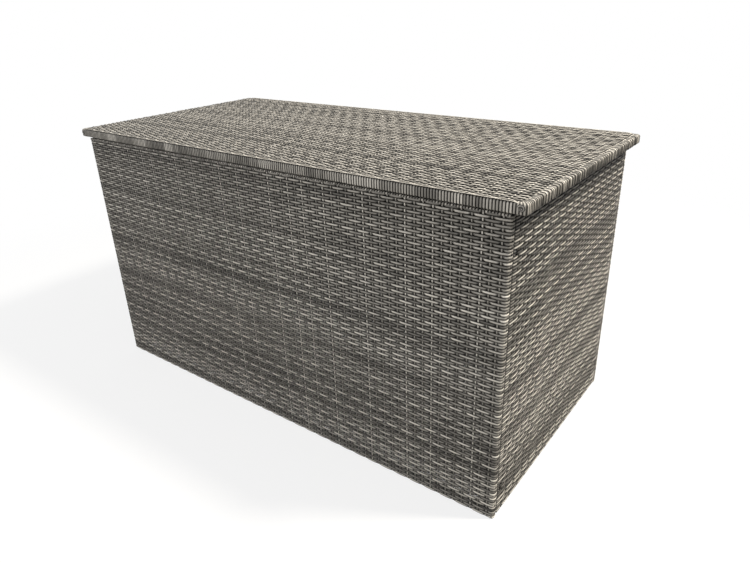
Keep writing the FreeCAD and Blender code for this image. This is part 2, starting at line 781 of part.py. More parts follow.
def make_knot(name):
    """The wrapped corner of the lid: a block with broken edges, hollowed for the ends of the two edge tubes."""
    body = new_body(name)
    outline = new_sketch(body, "XY_Plane")
    draw_box(outline, ("0", "0"), ("knot_width", "knot_width"))
    block = pad(body, outline, "edge_height")

    def outer_corner(start, end):
        return along(2)(start, end) and abs(start.x) < 1e-6 and abs(start.y) < 1e-6

    body.Tip = break_edges(body, block, "knot_bevel", outer_corner)
    rounded = body.Tip

    def rim(start, end):
        level = start.z < 1e-6 or abs(start.z - read("edge_height")) < 1e-6
        outer = min(start.x, start.y) < 1e-6 and min(end.x, end.y) < 1e-6
        return level and abs(start.z - end.z) < 1e-6 and outer

    body.Tip = break_edges(body, rounded, "wrap_bevel", rim)
    weave_space = new_sketch(body, "XY_Plane", "edge_height")
    draw_box(weave_space, ("wrap_hook", "wrap_hook"), ("knot_width + 1", "knot_width + 1"))
    pocket(body, weave_space, "weave_thickness")
    tube_low = ("wrap_thickness", "wrap_thickness")
    tube_high = ("edge_width", "wrap_thickness + lid_tube_height")
    long_space = new_sketch(body, "YZ_Plane", "knot_width")
    draw_box(long_space, tube_low, tube_high)
    pocket(body, long_space, "knot_width - wrap_hook")
    side_space = new_sketch(body, "XZ_Plane", "-knot_width")
    draw_box(side_space, tube_low, tube_high)
    pocket(body, side_space, "wrap_thickness", backwards=True)
    return body


knot = make_knot("lid_corner_knot")
mirrored_knot = document.addObject("Part::Mirroring", "lid_corner_knot_mirrored")
mirrored_knot.Source = knot
mirrored_knot.Normal = FreeCAD.Vector(1, 0, 0)
document.recompute()
corner_pieces = []
knot_masters = {
    ("front", "left"): (knot, None),
    ("front", "right"): (mirrored_knot, None),
    ("rear", "right"): (knot, (0, 0, 1)),
    ("rear", "left"): (mirrored_knot, (0, 0, 1)),
}
for (end, side), (master, axis) in knot_masters.items():
    corner = document.addObject("App::Link", f"lid_corner_knot_{end}_{side}")
    corner.LinkedObject = master
    if axis is not None:
        half_turn(corner, axis)
    sign = dict(side_signs)[side]
    place(corner, (f"{sign}lid_half", f"lid_{end}", "lid_bottom"))
    corner_pieces.append(corner)
corner_knots = document.addObject("Part::Compound", "lid_corner_knots")
corner_knots.Label = "lid_corner_knots"
corner_knots.Links = corner_pieces
node(corner_knots)

bumper = new_body("lid_bumper")
bumper_height = "lid_gap - bumper_clearance"
bumper_rings = [
    (f"-({bumper_height})", "bumper_radius - 1"),
    (f"-({bumper_height} - 1)", "bumper_radius"),
    ("0", "bumper_radius"),
]
stack(bumper, "XY_Plane", bumper_rings, sides=12)
bumper_plug = new_sketch(bumper, "XY_Plane")
draw_ring(bumper_plug, ("0", "0"), "bumper_stem")
pad(bumper, bumper_plug, "stem_length")
bumper_lines = ("-bumper_spacing", "0", "bumper_spacing")
group("lid_bumpers", bumper, [((line, "bumper_line", "lid_bottom"), None) for line in bumper_lines])


# Hinges


def make_leaf(name, depth, face, kept):
    """A hinge leaf and the knuckles numbered in kept, out of five. face is the leaf's outer side from the pin."""
    body = new_body(name)
    plate = new_sketch(body, "YZ_Plane")
    if face < 0:
        draw_box(plate, (f"-{depth}", "-lid_gap / 2"), ("0", "-lid_gap / 2 + leaf_thickness"))
    else:
        draw_box(plate, (f"-{depth}", "lid_gap / 2 - leaf_thickness"), ("0", "lid_gap / 2"))
    pad(body, plate, "hinge_length", middle=True)
    knuckle = new_sketch(body, "YZ_Plane")
    draw_ring(knuckle, ("0", "0"), "knuckle_radius", 12)
    pad(body, knuckle, "hinge_length", middle=True)
    spaces = new_sketch(body, "XY_Plane")
    for number in range(5):
        if number in kept:
            continue
        start = f"hinge_length * ({number} / 5 - 0.5) - knuckle_gap / 2"
        end = f"hinge_length * ({number + 1} / 5 - 0.5) + knuckle_gap / 2"
        draw_box(spaces, (start, "-knuckle_radius - knuckle_gap"), (end, "knuckle_radius + knuckle_gap"))
    pocket(body, spaces)
    bore = new_sketch(body, "YZ_Plane")
    draw_ring(bore, ("0", "0"), "pin_radius + pin_clearance", 12, flats=True)
    pocket(body, bore)
    return body


def sink_screws(body, line, face):
    """Countersunk holes for the two screws of a leaf."""
    wide = "screw_head_radius + hole_clearance"
    narrow = "screw_radius + hole_clearance"
    if face < 0:
        rings = [("-lid_gap / 2", narrow), ("-lid_gap / 2 + leaf_thickness", wide)]
    else:
        rings = [("lid_gap / 2 - leaf_thickness", wide), ("lid_gap / 2", narrow)]
    for half in (-1, 1):
        stack(body, "XY_Plane", rings, "Subtractive", (f"{half} * screw_spacing / 2", line))


hinge_names = (("left", -1), ("middle", 0), ("right", 1))
for hinge, number in hinge_names:
    where = (f"{number} * hinge_spacing", "hinge_line", "hinge_level")
    box_leaf = make_leaf(f"{hinge}_hinge_box_leaf", "box_leaf_depth", -1, (0, 2, 4))
    sink_screws(box_leaf, "box_screw_line - hinge_line", -1)
    place(node(box_leaf), where)
    lid_leaf = make_leaf(f"{hinge}_hinge_lid_leaf", "lid_leaf_depth", 1, (1, 3))
    sink_screws(lid_leaf, "lid_screw_line - hinge_line", 1)
    place(node(lid_leaf), where)

pin = new_body("hinge_pin")
pin_shank = new_sketch(pin, "YZ_Plane")
draw_ring(pin_shank, ("0", "0"), "pin_radius", 12)
pad(pin, pin_shank, "hinge_length + 2 * pin_head_height", middle=True)
for head_start in ("hinge_length / 2", "-hinge_length / 2 - pin_head_height"):
    pin_head = new_sketch(pin, "YZ_Plane", head_start)
    draw_ring(pin_head, ("0", "0"), "pin_head_radius", 12)
    pad(pin, pin_head, "pin_head_height")
group(
    "hinge_pins",
    pin,
    [((f"{number} * hinge_spacing", "hinge_line", "hinge_level"), None) for hinge, number in hinge_names],
)

screw = new_body("hinge_screw")
screw_rings = [
    ("0", "screw_head_radius"),
    ("-leaf_thickness", "screw_radius"),
    ("-(screw_length - screw_radius)", "screw_radius"),
    ("-screw_length", "screw_radius / 3"),
]
stack(screw, "XY_Plane", screw_rings)
box_screw_spots = []
lid_screw_spots = []
for hinge, number in hinge_names:
    for half in (-1, 1):
        spot = f"{number} * hinge_spacing + {half} * screw_spacing / 2"
        box_screw_spots.append(((spot, "box_screw_line", "body_top + leaf_thickness"), None))
        lid_screw_spots.append(((spot, "lid_screw_line", "lid_bottom - leaf_thickness"), (1, 0, 0)))


# Gas strut brackets and ball studs

ball_sides = 12


def add_ball(body, kind, radius):
    """Adds or cuts a ball at the body's origin, with its poles on the stud's line."""
    rings = []
    for turn in (155, 122.5, 90, 57.5, 25):
        angle = math.radians(turn)
        rings.append((f"({radius}) * ({math.cos(angle):.9f})", f"({radius}) * {math.sin(angle):.9f}"))
    stack(body, "YZ_Plane", rings, kind, sides=ball_sides)


def make_bracket(name, sign):
    """An angle under the lid's cross bar that carries the upper ball stud, on its ball's own line."""
    body = new_body(name)
    section = new_sketch(body, "XZ_Plane")
    outside = f"{sign}(bracket_outside - ball_line)"
    inside = f"{sign}(bracket_inside - ball_line)"
    edge = f"{sign}(-bar_width / 2)"
    top = "lid_tube_low - upper_stud_level"
    draw_polygon(
        section,
        [
            (outside, "-bracket_lip"),
            (outside, top),
            (edge, top),
            (edge, f"{top} - bracket_thickness"),
            (inside, f"{top} - bracket_thickness"),
            (inside, "-bracket_lip"),
        ],
    )
    pad(body, section, "bracket_length", middle=True)
    stud_hole = new_sketch(body, "YZ_Plane")
    draw_ring(stud_hole, ("0", "0"), "stud_thread_radius + hole_clearance")
    pocket(body, stud_hole)
    rings = [
        (f"{top} - bracket_thickness", "screw_head_radius + hole_clearance"),
        (top, "screw_radius + hole_clearance"),
    ]
    for half in (-1, 1):
        spot = ("0", f"{half} * bracket_screw_spacing / 2")
        stack(body, "XY_Plane", rings, "Subtractive", spot)
    return body


for side, sign in side_signs:
    bracket = make_bracket(f"{side}_upper_bracket", sign)
    place(node(bracket), (f"{sign}ball_line", "upper_stud_line", "upper_stud_level"))
    for half in (-1, 1):
        spot = f"upper_stud_line + {half} * bracket_screw_spacing / 2"
        where = (f"{sign}ball_line", spot, "lid_tube_low - bracket_thickness")
        lid_screw_spots.append((where, (1, 0, 0)))
group("box_screws", screw, box_screw_spots)
group("lid_screws", screw, lid_screw_spots)


def make_stud(name, reach, thread):
    """A ball stud with its ball at the origin, its collar on the seat at reach and its thread beyond."""
    body = new_body(name)
    collar = new_sketch(body, "YZ_Plane", f"{reach} - stud_hex_height")
    draw_hexagon(collar, "stud_hex_width")
    pad(body, collar, "stud_hex_height")
    neck = new_sketch(body, "YZ_Plane")
    draw_ring(neck, ("0", "0"), "stud_neck_radius")
    pad(body, neck, f"{reach}")
    thread_end = new_sketch(body, "YZ_Plane")
    draw_ring(thread_end, ("0", "0"), "stud_thread_radius")
    pad(body, thread_end, f"{reach} + {thread}")
    add_ball(body, "Additive", "ball_radius")
    return body


lower_stud = make_stud("lower_ball_stud", "lower_stud_reach", "stud_thread_length")
upper_stud = make_stud("upper_ball_stud", "stud_reach", "bracket_thickness")
stud_kinds = (("lower", lower_stud), ("upper", upper_stud))
for level, stud in stud_kinds:
    spots = []
    for side, sign in side_signs:
        where = (f"{sign}ball_line", f"{level}_stud_line", f"{level}_stud_level")
        spots.append((where, (0, 0, 1) if side == "left" else None))
    group(f"{level}_ball_studs", stud, spots)


# Gas struts, drawn upright from the lower ball's centre and then tilted


def make_socket(name, sign):
    """A ball socket, open towards the stud, with a threaded neck along the strut."""
    body = new_body(name)
    start = "-socket_back" if sign == "" else "-socket_front"
    housing = new_sketch(body, "YZ_Plane", start)
    draw_ring(housing, ("0", "0"), "socket_radius")
    pad(body, housing, "socket_back + socket_front")
    neck_start = "ball_radius + ball_clearance + 1"
    neck = new_sketch(body, "XY_Plane", neck_start)
    draw_ring(neck, ("0", "0"), "socket_neck_radius")
    pad(body, neck, f"socket_reach - ({neck_start})")
    add_ball(body, "Subtractive", f"(ball_radius + ball_clearance) / {math.cos(math.pi / ball_sides):.9f}")
    thread = new_sketch(body, "XY_Plane", "socket_reach")
    draw_ring(thread, ("0", "0"), "thread_radius + thread_clearance", flats=True)
    pocket(body, thread, "thread_length + thread_clearance")
    return body


def tilt(item, extra="0 deg"):
    item.Placement = FreeCAD.Placement(FreeCAD.Vector(), FreeCAD.Rotation(FreeCAD.Vector(1, 0, 0), 10))
    bind(item, "Placement.Rotation.Angle", f"strut_tilt + {extra}")


def make_cylinder(name):
    body = new_body(name)
    outline = new_sketch(body, "XZ_Plane")
    guide_low = "cylinder_end - guide_length"
    draw_polygon(
        outline,
        [
            ("0", "socket_reach - thread_length"),
            ("thread_radius", "socket_reach - thread_length"),
            ("thread_radius", "socket_reach"),
            ("cylinder_radius", "socket_reach"),
            ("cylinder_radius", "cylinder_end - cylinder_wall"),
            ("cylinder_radius - cylinder_wall", "cylinder_end"),
            ("rod_radius + guide_clearance", "cylinder_end"),
            ("rod_radius + guide_clearance", guide_low),
            ("cylinder_bore", guide_low),
            ("cylinder_bore", "socket_reach + cylinder_base"),
            ("0", "socket_reach + cylinder_base"),
        ],
    )
    turn(body, outline, "V_Axis")
    return body


def make_rod(name):
    body = new_body(name)
    outline = new_sketch(body, "XZ_Plane")
    shoulder = "strut_length - socket_reach"
    draw_polygon(
        outline,
        [
            ("0", "piston_level"),
            ("cylinder_bore - guide_clearance", "piston_level"),
            ("cylinder_bore - guide_clearance", "piston_level + piston_length"),
            ("rod_radius", "piston_level + piston_length"),
            ("rod_radius", shoulder),
            ("thread_radius", shoulder),
            ("thread_radius", f"{shoulder} + thread_length"),
            ("0", f"{shoulder} + thread_length"),
        ],
    )
    turn(body, outline, "V_Axis")
    return body


for side, sign in side_signs:
    lower = (f"{sign}ball_line", "lower_stud_line", "lower_stud_level")
    upper = (f"{sign}ball_line", "upper_stud_line", "upper_stud_level")
    cylinder = make_cylinder(f"{side}_strut_cylinder")
    rod = make_rod(f"{side}_strut_rod")
    lower_socket = make_socket(f"{side}_cylinder_socket", sign)
    upper_socket = make_socket(f"{side}_rod_socket", sign)
    for item in (cylinder, rod, lower_socket):
        tilt(item)
        place(node(item), lower)
    tilt(upper_socket, "180 deg")
    place(node(upper_socket), upper)


# Check and write


def with_flat_sides(shape):
    """The same solids with planes and straight edges where the stacked forms are flat."""
    solids = []
    for solid in shape.Solids:
        kinds = {face.Surface.TypeId for face in solid.Faces}
        if kinds <= {"Part::GeomPlane", "Part::GeomBSplineSurface"} and len(kinds) == 2:
            sides = []
            for face in solid.Faces:
                loops = []
                for wire in face.Wires:
                    corners = [vertex.Point for vertex in wire.OrderedVertexes]
                    loops.append(Part.makePolygon(corners + corners[:1]))
                sides.append(Part.makeFace(loops, "Part::FaceMakerBullseye"))
            shell = Part.makeShell(sides)
            shell.sewShape()
            solid = Part.makeSolid(shell)
        solids.append(solid)
    return solids[0] if len(solids) == 1 else Part.makeCompound(solids)


document.recompute()
for item in document.Objects:
    if "Invalid" in item.State or "Error" in item.State:
        raise RuntimeError(f"{item.Name} failed: {item.State}")
names = [item.Label for item in part_nodes]
if len(set(names)) != len(names):
    raise RuntimeError("two nodes have one name")
for item in part_nodes:
    if item.Shape.isNull() or not item.Shape.isValid():
        raise RuntimeError(f"{item.Label} has no valid shape")
os.makedirs("parts", exist_ok=True)
for item in part_nodes:
    pieces = with_flat_sides(item.Shape)
    if not pieces.isValid() or abs(pieces.Volume - item.Shape.Volume) > 0.01:
        raise RuntimeError(f"{item.Label} changed when its flat sides were made")
    pieces.exportStep(f"parts/{item.Label}.step")
print("nodes", len(names))
print("gas strut, lid shut", round(read("strut_length"), 2), "mm, tilt", round(read("strut_tilt"), 3), "degrees")
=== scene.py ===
import math

import bpy
import numpy as np
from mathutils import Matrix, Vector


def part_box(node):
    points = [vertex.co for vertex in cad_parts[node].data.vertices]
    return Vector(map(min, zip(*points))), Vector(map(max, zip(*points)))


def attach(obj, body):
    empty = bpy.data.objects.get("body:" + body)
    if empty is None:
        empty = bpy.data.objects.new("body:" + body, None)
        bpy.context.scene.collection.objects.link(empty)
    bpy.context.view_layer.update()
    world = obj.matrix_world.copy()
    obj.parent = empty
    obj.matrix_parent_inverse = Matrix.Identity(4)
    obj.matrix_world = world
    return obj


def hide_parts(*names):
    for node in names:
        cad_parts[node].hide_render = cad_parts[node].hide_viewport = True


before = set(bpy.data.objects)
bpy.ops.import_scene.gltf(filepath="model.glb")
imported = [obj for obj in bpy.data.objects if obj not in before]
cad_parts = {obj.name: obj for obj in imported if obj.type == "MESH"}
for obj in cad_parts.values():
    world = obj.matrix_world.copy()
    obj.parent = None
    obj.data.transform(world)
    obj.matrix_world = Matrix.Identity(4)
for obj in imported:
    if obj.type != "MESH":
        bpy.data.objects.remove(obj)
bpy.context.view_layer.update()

scene = bpy.context.scene
scene.view_settings.view_transform = "Standard"
mm = 0.001

# fitted to the corners of the box in the photograph
photoView = {
    "place": (1.1915, -1.3945, 1.1493), "turn": (65.2817, 1.7048, 36.6935),
    "lens": 29.7229, "sensor": 36,
}


def setCamera():
    data = bpy.data.cameras.new("photo_camera")
    data.sensor_width = photoView["sensor"]
    data.sensor_fit = "HORIZONTAL"
    data.lens = photoView["lens"]
    camera = bpy.data.objects.new("photo_camera", data)
    camera.location = photoView["place"]
    camera.rotation_euler = [math.radians(angle) for angle in photoView["turn"]]
    scene.collection.objects.link(camera)
    scene.camera = camera


setCamera()
print("camera set")


def newMaterial(name):
    material = bpy.data.materials.new(name)
    material.use_nodes = True
    tree = material.node_tree
    return material, tree.nodes, tree.links, tree.nodes["Principled BSDF"]


def addNode(nodes, kind, **settings):
    # a setting is one of the node's inputs, or else one of its options
    node = nodes.new(kind)
    for key, value in settings.items():
        if key in node.inputs:
            node.inputs[key].default_value = value
        else:
            setattr(node, key, value)
    return node


def feed(links, socket, value):
    # value is another node's output or a plain number
    if isinstance(value, bpy.types.NodeSocket):
        links.new(value, socket)
    else:
        socket.default_value = value


def addMath(nodes, links, operation, *values):
    node = addNode(nodes, "ShaderNodeMath", operation=operation)
    for socket, value in zip(node.inputs, values):
        feed(links, socket, value)
    return node.outputs[0]


def addRange(nodes, links, value, fromEnds, toEnds, **settings):
    node = addNode(nodes, "ShaderNodeMapRange", **settings)
    for key, end in zip(("From Min", "From Max", "To Min", "To Max"), (*fromEnds, *toEnds)):
        feed(links, node.inputs[key], end)
    links.new(value, node.inputs["Value"])
    return node.outputs["Result"]


def addRamp(nodes, stops):
    ramp = nodes.new("ShaderNodeValToRGB")
    elements = ramp.color_ramp.elements
    while len(elements) < len(stops):
        elements.new(0.5)
    for element, (place, shade) in zip(elements, stops):
        element.position = place
        element.color = (*shade, 1)
    return ramp


strandLook = {
    "shades": [(0.0, (0.090, 0.0845, 0.0750)), (0.35, (0.275, 0.2580, 0.2290)),
               (0.7, (0.560, 0.5260, 0.4670)), (1.0, (0.900, 0.8480, 0.7560))],
    "roughness": 0.42,
    "specular": 0.24,
    "lineScale": (22, 16, 1),      # fine lines, along a strand and round it
    "lineSpread": 57.0,            # sets the lines of one strand apart from those of the next
    "grooves": 0.35,               # strength of the fine lines
    "grooveDepth": 0.0004,
    "streaks": 0.18,               # how far the tone strays within a strand
    "flankShade": 0.10,                 # how dark the painted shade makes a strand down its flanks
    "crown": (0.05, 0.22),         # between which distances from its crown the painted shade sets in
}


def strandMaterial():
    # each strand carries its own tone, and painted shade dims it where it goes under another
    look = strandLook
    material, nodes, links, surface = newMaterial("woven_strand_finish")
    tone = addNode(nodes, "ShaderNodeAttribute", attribute_name="strandTone").outputs["Fac"]
    shade = addNode(nodes, "ShaderNodeAttribute", attribute_name="strandShade").outputs["Fac"]
    uv = addNode(nodes, "ShaderNodeUVMap", uv_map="strandUv").outputs["UV"]
    stretch = addNode(nodes, "ShaderNodeMapping", Scale=look["lineScale"])
    links.new(uv, stretch.inputs["Vector"])
    lines = addNode(nodes, "ShaderNodeTexNoise", noise_dimensions="4D", Scale=1.0, Detail=3.0, Roughness=0.6)
    links.new(stretch.outputs["Vector"], lines.inputs["Vector"])
    links.new(addMath(nodes, links, "MULTIPLY", tone, look["lineSpread"]), lines.inputs["W"])
    stray = addMath(nodes, links, "MULTIPLY_ADD", lines.outputs["Fac"], look["streaks"] * 2, -look["streaks"])
    ramp = addRamp(nodes, look["shades"])
    links.new(addMath(nodes, links, "ADD", tone, stray), ramp.inputs["Fac"])

    # painted shade in the grooves between neighbouring strands, down each strand's flanks
    around = addNode(nodes, "ShaderNodeSeparateXYZ")
    links.new(uv, around.inputs["Vector"])
    fromCrown = addMath(nodes, links, "SUBTRACT", around.outputs["Y"], 0.5)
    flankShade = addRange(nodes, links, addMath(nodes, links, "ABSOLUTE", fromCrown), look["crown"],
                     (1.0, look["flankShade"]), interpolation_type="SMOOTHSTEP")
    tint = addNode(nodes, "ShaderNodeMix", data_type="RGBA", blend_type="MULTIPLY")
    tint.inputs[0].default_value = 1.0
    links.new(ramp.outputs["Color"], tint.inputs[6])
    links.new(addMath(nodes, links, "MULTIPLY", flankShade, shade), tint.inputs[7])
    links.new(tint.outputs[2], surface.inputs["Base Color"])
    bump = addNode(nodes, "ShaderNodeBump", Strength=look["grooves"], Distance=look["grooveDepth"])
    links.new(lines.outputs["Fac"], bump.inputs["Height"])
    links.new(bump.outputs["Normal"], surface.inputs["Normal"])
    surface.inputs["Roughness"].default_value = look["roughness"]
    surface.inputs["Specular IOR Level"].default_value = look["specular"]
    return material


hardLooks = {
    "tube_paint": {"shade": (0.030, 0.028, 0.026), "far": (0.050, 0.047, 0.043),
                   "rough": 0.48, "metal": 0.0, "grain": 900, "bump": 0.25},
    "hinge_steel": {"shade": (0.42, 0.42, 0.41), "far": (0.56, 0.56, 0.55),
                    "rough": 0.36, "metal": 1.0, "grain": 260, "bump": 0.12, "stretch": (0.08, 1, 1)},
    "screw_steel": {"shade": (0.50, 0.49, 0.46), "far": (0.62, 0.61, 0.58),
                    "rough": 0.30, "metal": 1.0, "grain": 700, "bump": 0.1},
    "black_bolt": {"shade": (0.018, 0.018, 0.018), "far": (0.035, 0.034, 0.033),
                   "rough": 0.42, "metal": 0.3, "grain": 700, "bump": 0.15},
    "black_nylon": {"shade": (0.016, 0.016, 0.017), "far": (0.028, 0.028, 0.029),
                    "rough": 0.55, "metal": 0.0, "grain": 1500, "bump": 0.3},
    "buffer_rubber": {"shade": (0.020, 0.020, 0.020), "far": (0.032, 0.031, 0.030),
                      "rough": 0.8, "metal": 0.0, "grain": 1100, "bump": 0.35},
    "cylinder_paint": {"shade": (0.012, 0.012, 0.012), "far": (0.020, 0.020, 0.020),
                       "rough": 0.22, "metal": 0.0, "grain": 500, "bump": 0.06},
    "polished_rod": {"shade": (0.66, 0.66, 0.67), "far": (0.74, 0.74, 0.75),
                     "rough": 0.10, "metal": 1.0, "grain": 300, "bump": 0.02},
}
hardGrain = {
    "patches": 14.0, "patchEnds": (0.3, 0.75),      # broad patches between the two shades
    "gloss": (0.85, 1.15),                          # how far the roughness strays
    "depth": 0.0002,
}


def hardMaterial(name, look):
    # a faint grain changes the shade and the gloss a little, as on coated or worked metal
    material, nodes, links, surface = newMaterial(name)
    place = addNode(nodes, "ShaderNodeTexCoord")
    stretch = addNode(nodes, "ShaderNodeMapping", Scale=look.get("stretch", (1, 1, 1)))
    links.new(place.outputs["Object"], stretch.inputs["Vector"])
    grain = addNode(nodes, "ShaderNodeTexNoise", Scale=float(look["grain"]), Detail=2.0)
    patches = addNode(nodes, "ShaderNodeTexNoise", Scale=hardGrain["patches"], Detail=3.0)
    for noise in (grain, patches):
        links.new(stretch.outputs["Vector"], noise.inputs["Vector"])
    ramp = addRamp(nodes, list(zip(hardGrain["patchEnds"], (look["shade"], look["far"]))))
    links.new(patches.outputs["Fac"], ramp.inputs["Fac"])
    links.new(ramp.outputs["Color"], surface.inputs["Base Color"])
    gloss = [min(1.0, look["rough"] * share) for share in hardGrain["gloss"]]
    links.new(addRange(nodes, links, patches.outputs["Fac"], (0.0, 1.0), gloss), surface.inputs["Roughness"])
    bump = addNode(nodes, "ShaderNodeBump", Strength=look["bump"], Distance=hardGrain["depth"])
    links.new(grain.outputs["Fac"], bump.inputs["Height"])
    links.new(bump.outputs["Normal"], surface.inputs["Normal"])
    surface.inputs["Metallic"].default_value = look["metal"]
    return material


strandFinish = strandMaterial()
hardFinishes = {name: hardMaterial(name, look) for name, look in hardLooks.items()}
print("materials made:", 1 + len(hardFinishes))


# every woven piece is many strands, each a closed crowned ribbon along its own path
strandSections = {
    "lens": np.array([(0, -0.8), (1, -0.1), (0, 1), (-1, -0.1)], float),
    "ribbon": np.array([(0, -0.8), (1, -0.2), (0.62, 0.75), (0, 1), (-0.62, 0.75), (-1, -0.2)], float),
}


def unit(vectors):
    return vectors / np.maximum(np.linalg.norm(vectors, axis=-1, keepdims=True), 1e-12)


def strandShell(batch):
    # the ribbons of one batch, whose strands have the same number of points, in millimetres
    centre = batch["centre"]
    strands, stations = centre.shape[:2]
    tangent = unit(np.gradient(centre, axis=1))
    across = np.broadcast_to(batch["across"], centre.shape)
    across = unit(across - tangent * (across * tangent).sum(-1, keepdims=True))
    out = np.cross(tangent, across)
    section = strandSections[batch.get("section", "lens")]
    sides = len(section)

    def everywhere(key):
        return np.broadcast_to(batch.get(key, 1.0), (strands, stations))

    half, rise = (everywhere(key)[..., None, None] for key in ("half", "rise"))
    shell = (centre[:, :, None] + across[:, :, None] * section[:, :1] * half
             + out[:, :, None] * section[:, 1:] * rise)
    tone, shade = (np.repeat(everywhere(key).reshape(-1), sides) for key in ("tone", "shade"))
    index = np.arange(strands * stations * sides).reshape(strands, stations, sides)
    turned = np.roll(index, -1, axis=2)
    quads = np.stack([index[:, :-1], turned[:, :-1], turned[:, 1:], index[:, 1:]], axis=-1)
    caps = np.concatenate([index[:, 0, ::-1], index[:, -1]])
    step = np.linalg.norm(np.diff(centre, axis=1), axis=2) * mm
    along = np.concatenate([np.zeros((strands, 1)), np.cumsum(step, axis=1)], axis=1)
    near = np.broadcast_to(along[:, :-1, None], quads.shape[:3])
    far = np.broadcast_to(along[:, 1:, None], quads.shape[:3])
    crown = batch.get("crown", 1.0)
    low = np.broadcast_to(0.5 + crown * (np.arange(sides) / sides - 0.5), quads.shape[:3])
    high = low + crown / sides
    uv = np.stack([near, low, near, high, far, high, far, low], axis=-1).reshape(-1, 2)
    return shell.reshape(-1, 3) * mm, tone, shade, quads, caps, uv


def strandPiece(name, batches, body, nodes=()):
    points, tones, shades, corners, starts, uvs = [], [], [], [], [], []
    vertexCount = cornerCount = 0
    for batch in batches:
        shell, tone, shade, quads, caps, uv = strandShell(batch)
        points.append(shell)
        tones.append(tone)
        shades.append(shade)
        uvs += [uv, np.zeros((caps.size, 2))]
        for faces in (quads, caps):
            sides = faces.shape[-1]
            corners.append(vertexCount + faces.reshape(-1))
            starts.append(cornerCount + sides * np.arange(faces.size // sides))
            cornerCount += faces.size
        vertexCount += len(shell)
    mesh = bpy.data.meshes.new(name)
    mesh.vertices.add(vertexCount)
    mesh.vertices.foreach_set("co", np.concatenate(points).astype(np.float32).ravel())
    mesh.loops.add(cornerCount)
    mesh.loops.foreach_set("vertex_index", np.concatenate(corners).astype(np.int32))
    faceStarts = np.concatenate(starts).astype(np.int32)
    mesh.polygons.add(len(faceStarts))
    mesh.polygons.foreach_set("loop_start", faceStarts)
    mesh.update(calc_edges=True)
    layer = mesh.uv_layers.new(name="strandUv")
    layer.uv.foreach_set("vector", np.concatenate(uvs).astype(np.float32).ravel())
    for label, values in (("strandTone", tones), ("strandShade", shades)):
        attribute = mesh.attributes.new(label, "FLOAT", "POINT")
        attribute.data.foreach_set("value", np.concatenate(values).astype(np.float32))
    mesh.validate()
    mesh.shade_smooth()
    mesh.materials.append(strandFinish)
    piece = bpy.data.objects.new(name, mesh)
    scene.collection.objects.link(piece)
    if nodes:
        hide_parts(*nodes)
    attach(piece, body)
    mesh.calc_loop_triangles()
    print(" ", name, len(mesh.loop_triangles), "triangles")


noiseKnots = 400      # the noise repeats after this many turns


def smoothNoise(values, seed):
    # wanders between -1 and 1, with one turn about every unit of values
    generator = np.random.default_rng(seed)
    knots = generator.uniform(-1, 1, noiseKnots)
    whole = np.floor(values).astype(int)
    part = values - whole
    ease = part * part * (3 - 2 * part)
    return knots[whole % noiseKnots] * (1 - ease) + knots[(whole + 1) % noiseKnots] * ease


# tones run from 0, dark, to 1, light: light, middle and dark strands take turns, in broad bands of rows
toneMix = {
    "lightShare": 0.32, "darkShare": 0.26,
    "light": (0.70, 0.92), "middle": (0.42, 0.57), "dark": (0.27, 0.39),
    "turn": 0.618, "turnStray": 0.24,      # how far each strand moves on between light, middle and dark
    "band": 0.07, "bandRows": 9.0,
    "drift": 0.11, "dash": 0.15,           # change along a row, and from one showing stretch to the next
    "paintedTopShade": 0.0,                         # how much darker the last strands are, as painted shade under the lid's edge
    "spread": (1.0, 1.0),                  # contrast at the first and the last strand
}


def strandTones(count, seed, lift=0.0, changes=None):
    mix = {**toneMix, **(changes or {})}
    generator = np.random.default_rng(seed)
    pick = (mix["turn"] * np.arange(count) + mix["turnStray"] * generator.random(count)) % 1.0
    level = generator.random(count)

    def between(ends):
        return ends[0] + (ends[1] - ends[0]) * level

    tone = between(mix["middle"])
    tone = np.where(pick < mix["lightShare"], between(mix["light"]), tone)
    tone = np.where(pick > 1 - mix["darkShare"], between(mix["dark"]), tone)
    band = smoothNoise(np.arange(count) / mix["bandRows"], seed + 1)
    # the last strands darken with painted shade under the lid
    tone = tone + mix["band"] * band + lift - mix["paintedTopShade"] * np.linspace(0, 1, count) ** 3
    return 0.5 + (tone - 0.5) * np.linspace(*mix["spread"], count)


# woven sheets: rows run along the sheet and dive behind every second stake, where the stake shows
weaveForm = {
    "row": 7.0, "rowHalf": 3.76, "rowRise": 1.15, "rowWave": 1.3,
    "jitter": 0.22,                        # how far a whole row strays up or down
    "stakeHalf": 2.9, "stakeRise": 0.6, "stakeWave": 1.0,
    "driftAlong": 230, "driftRow": 7.3,    # how soon the tone changes along a row, and between rows
    "dashShift": 11.0,                     # half the distance between two stakes
}
# rows stray up and down in long waves, and part a little at a sheet's gaps
wanderForm = {"along": 260, "alongStart": 40, "lean": 0.013, "up": 90, "upStart": 3, "amount": 1.6, "gapReach": 28}

# along a strand: place, how high it rides, how wide it is and how light it shows; the last is painted light and shade,
# dark where it dives and lighter on one side of each dive than the other, and the same at a row's ends
diveShape = [(-9.6, 0.68, 1.0, 0.82), (-5.0, -0.15, 1.0, 0.16), (0.0, -1.0, 0.97, 0.04),
             (4.8, -0.15, 1.0, 0.42), (9.0, 0.76, 1.0, 1.06)]      # a row, from the stake it dives behind
stakeUnder = [(0.0, -1.0, 0.8, 0.3)]                               # a stake, from the row that it goes behind
stakeOver = [(-1.7, 0.92, 1.0, 0.95), (1.7, 0.92, 1.0, 0.95)]      # and from the row that it shows over
openingEnd = (0.1, 0.86, 0.6)                                      # a row that stops at a bolt opening

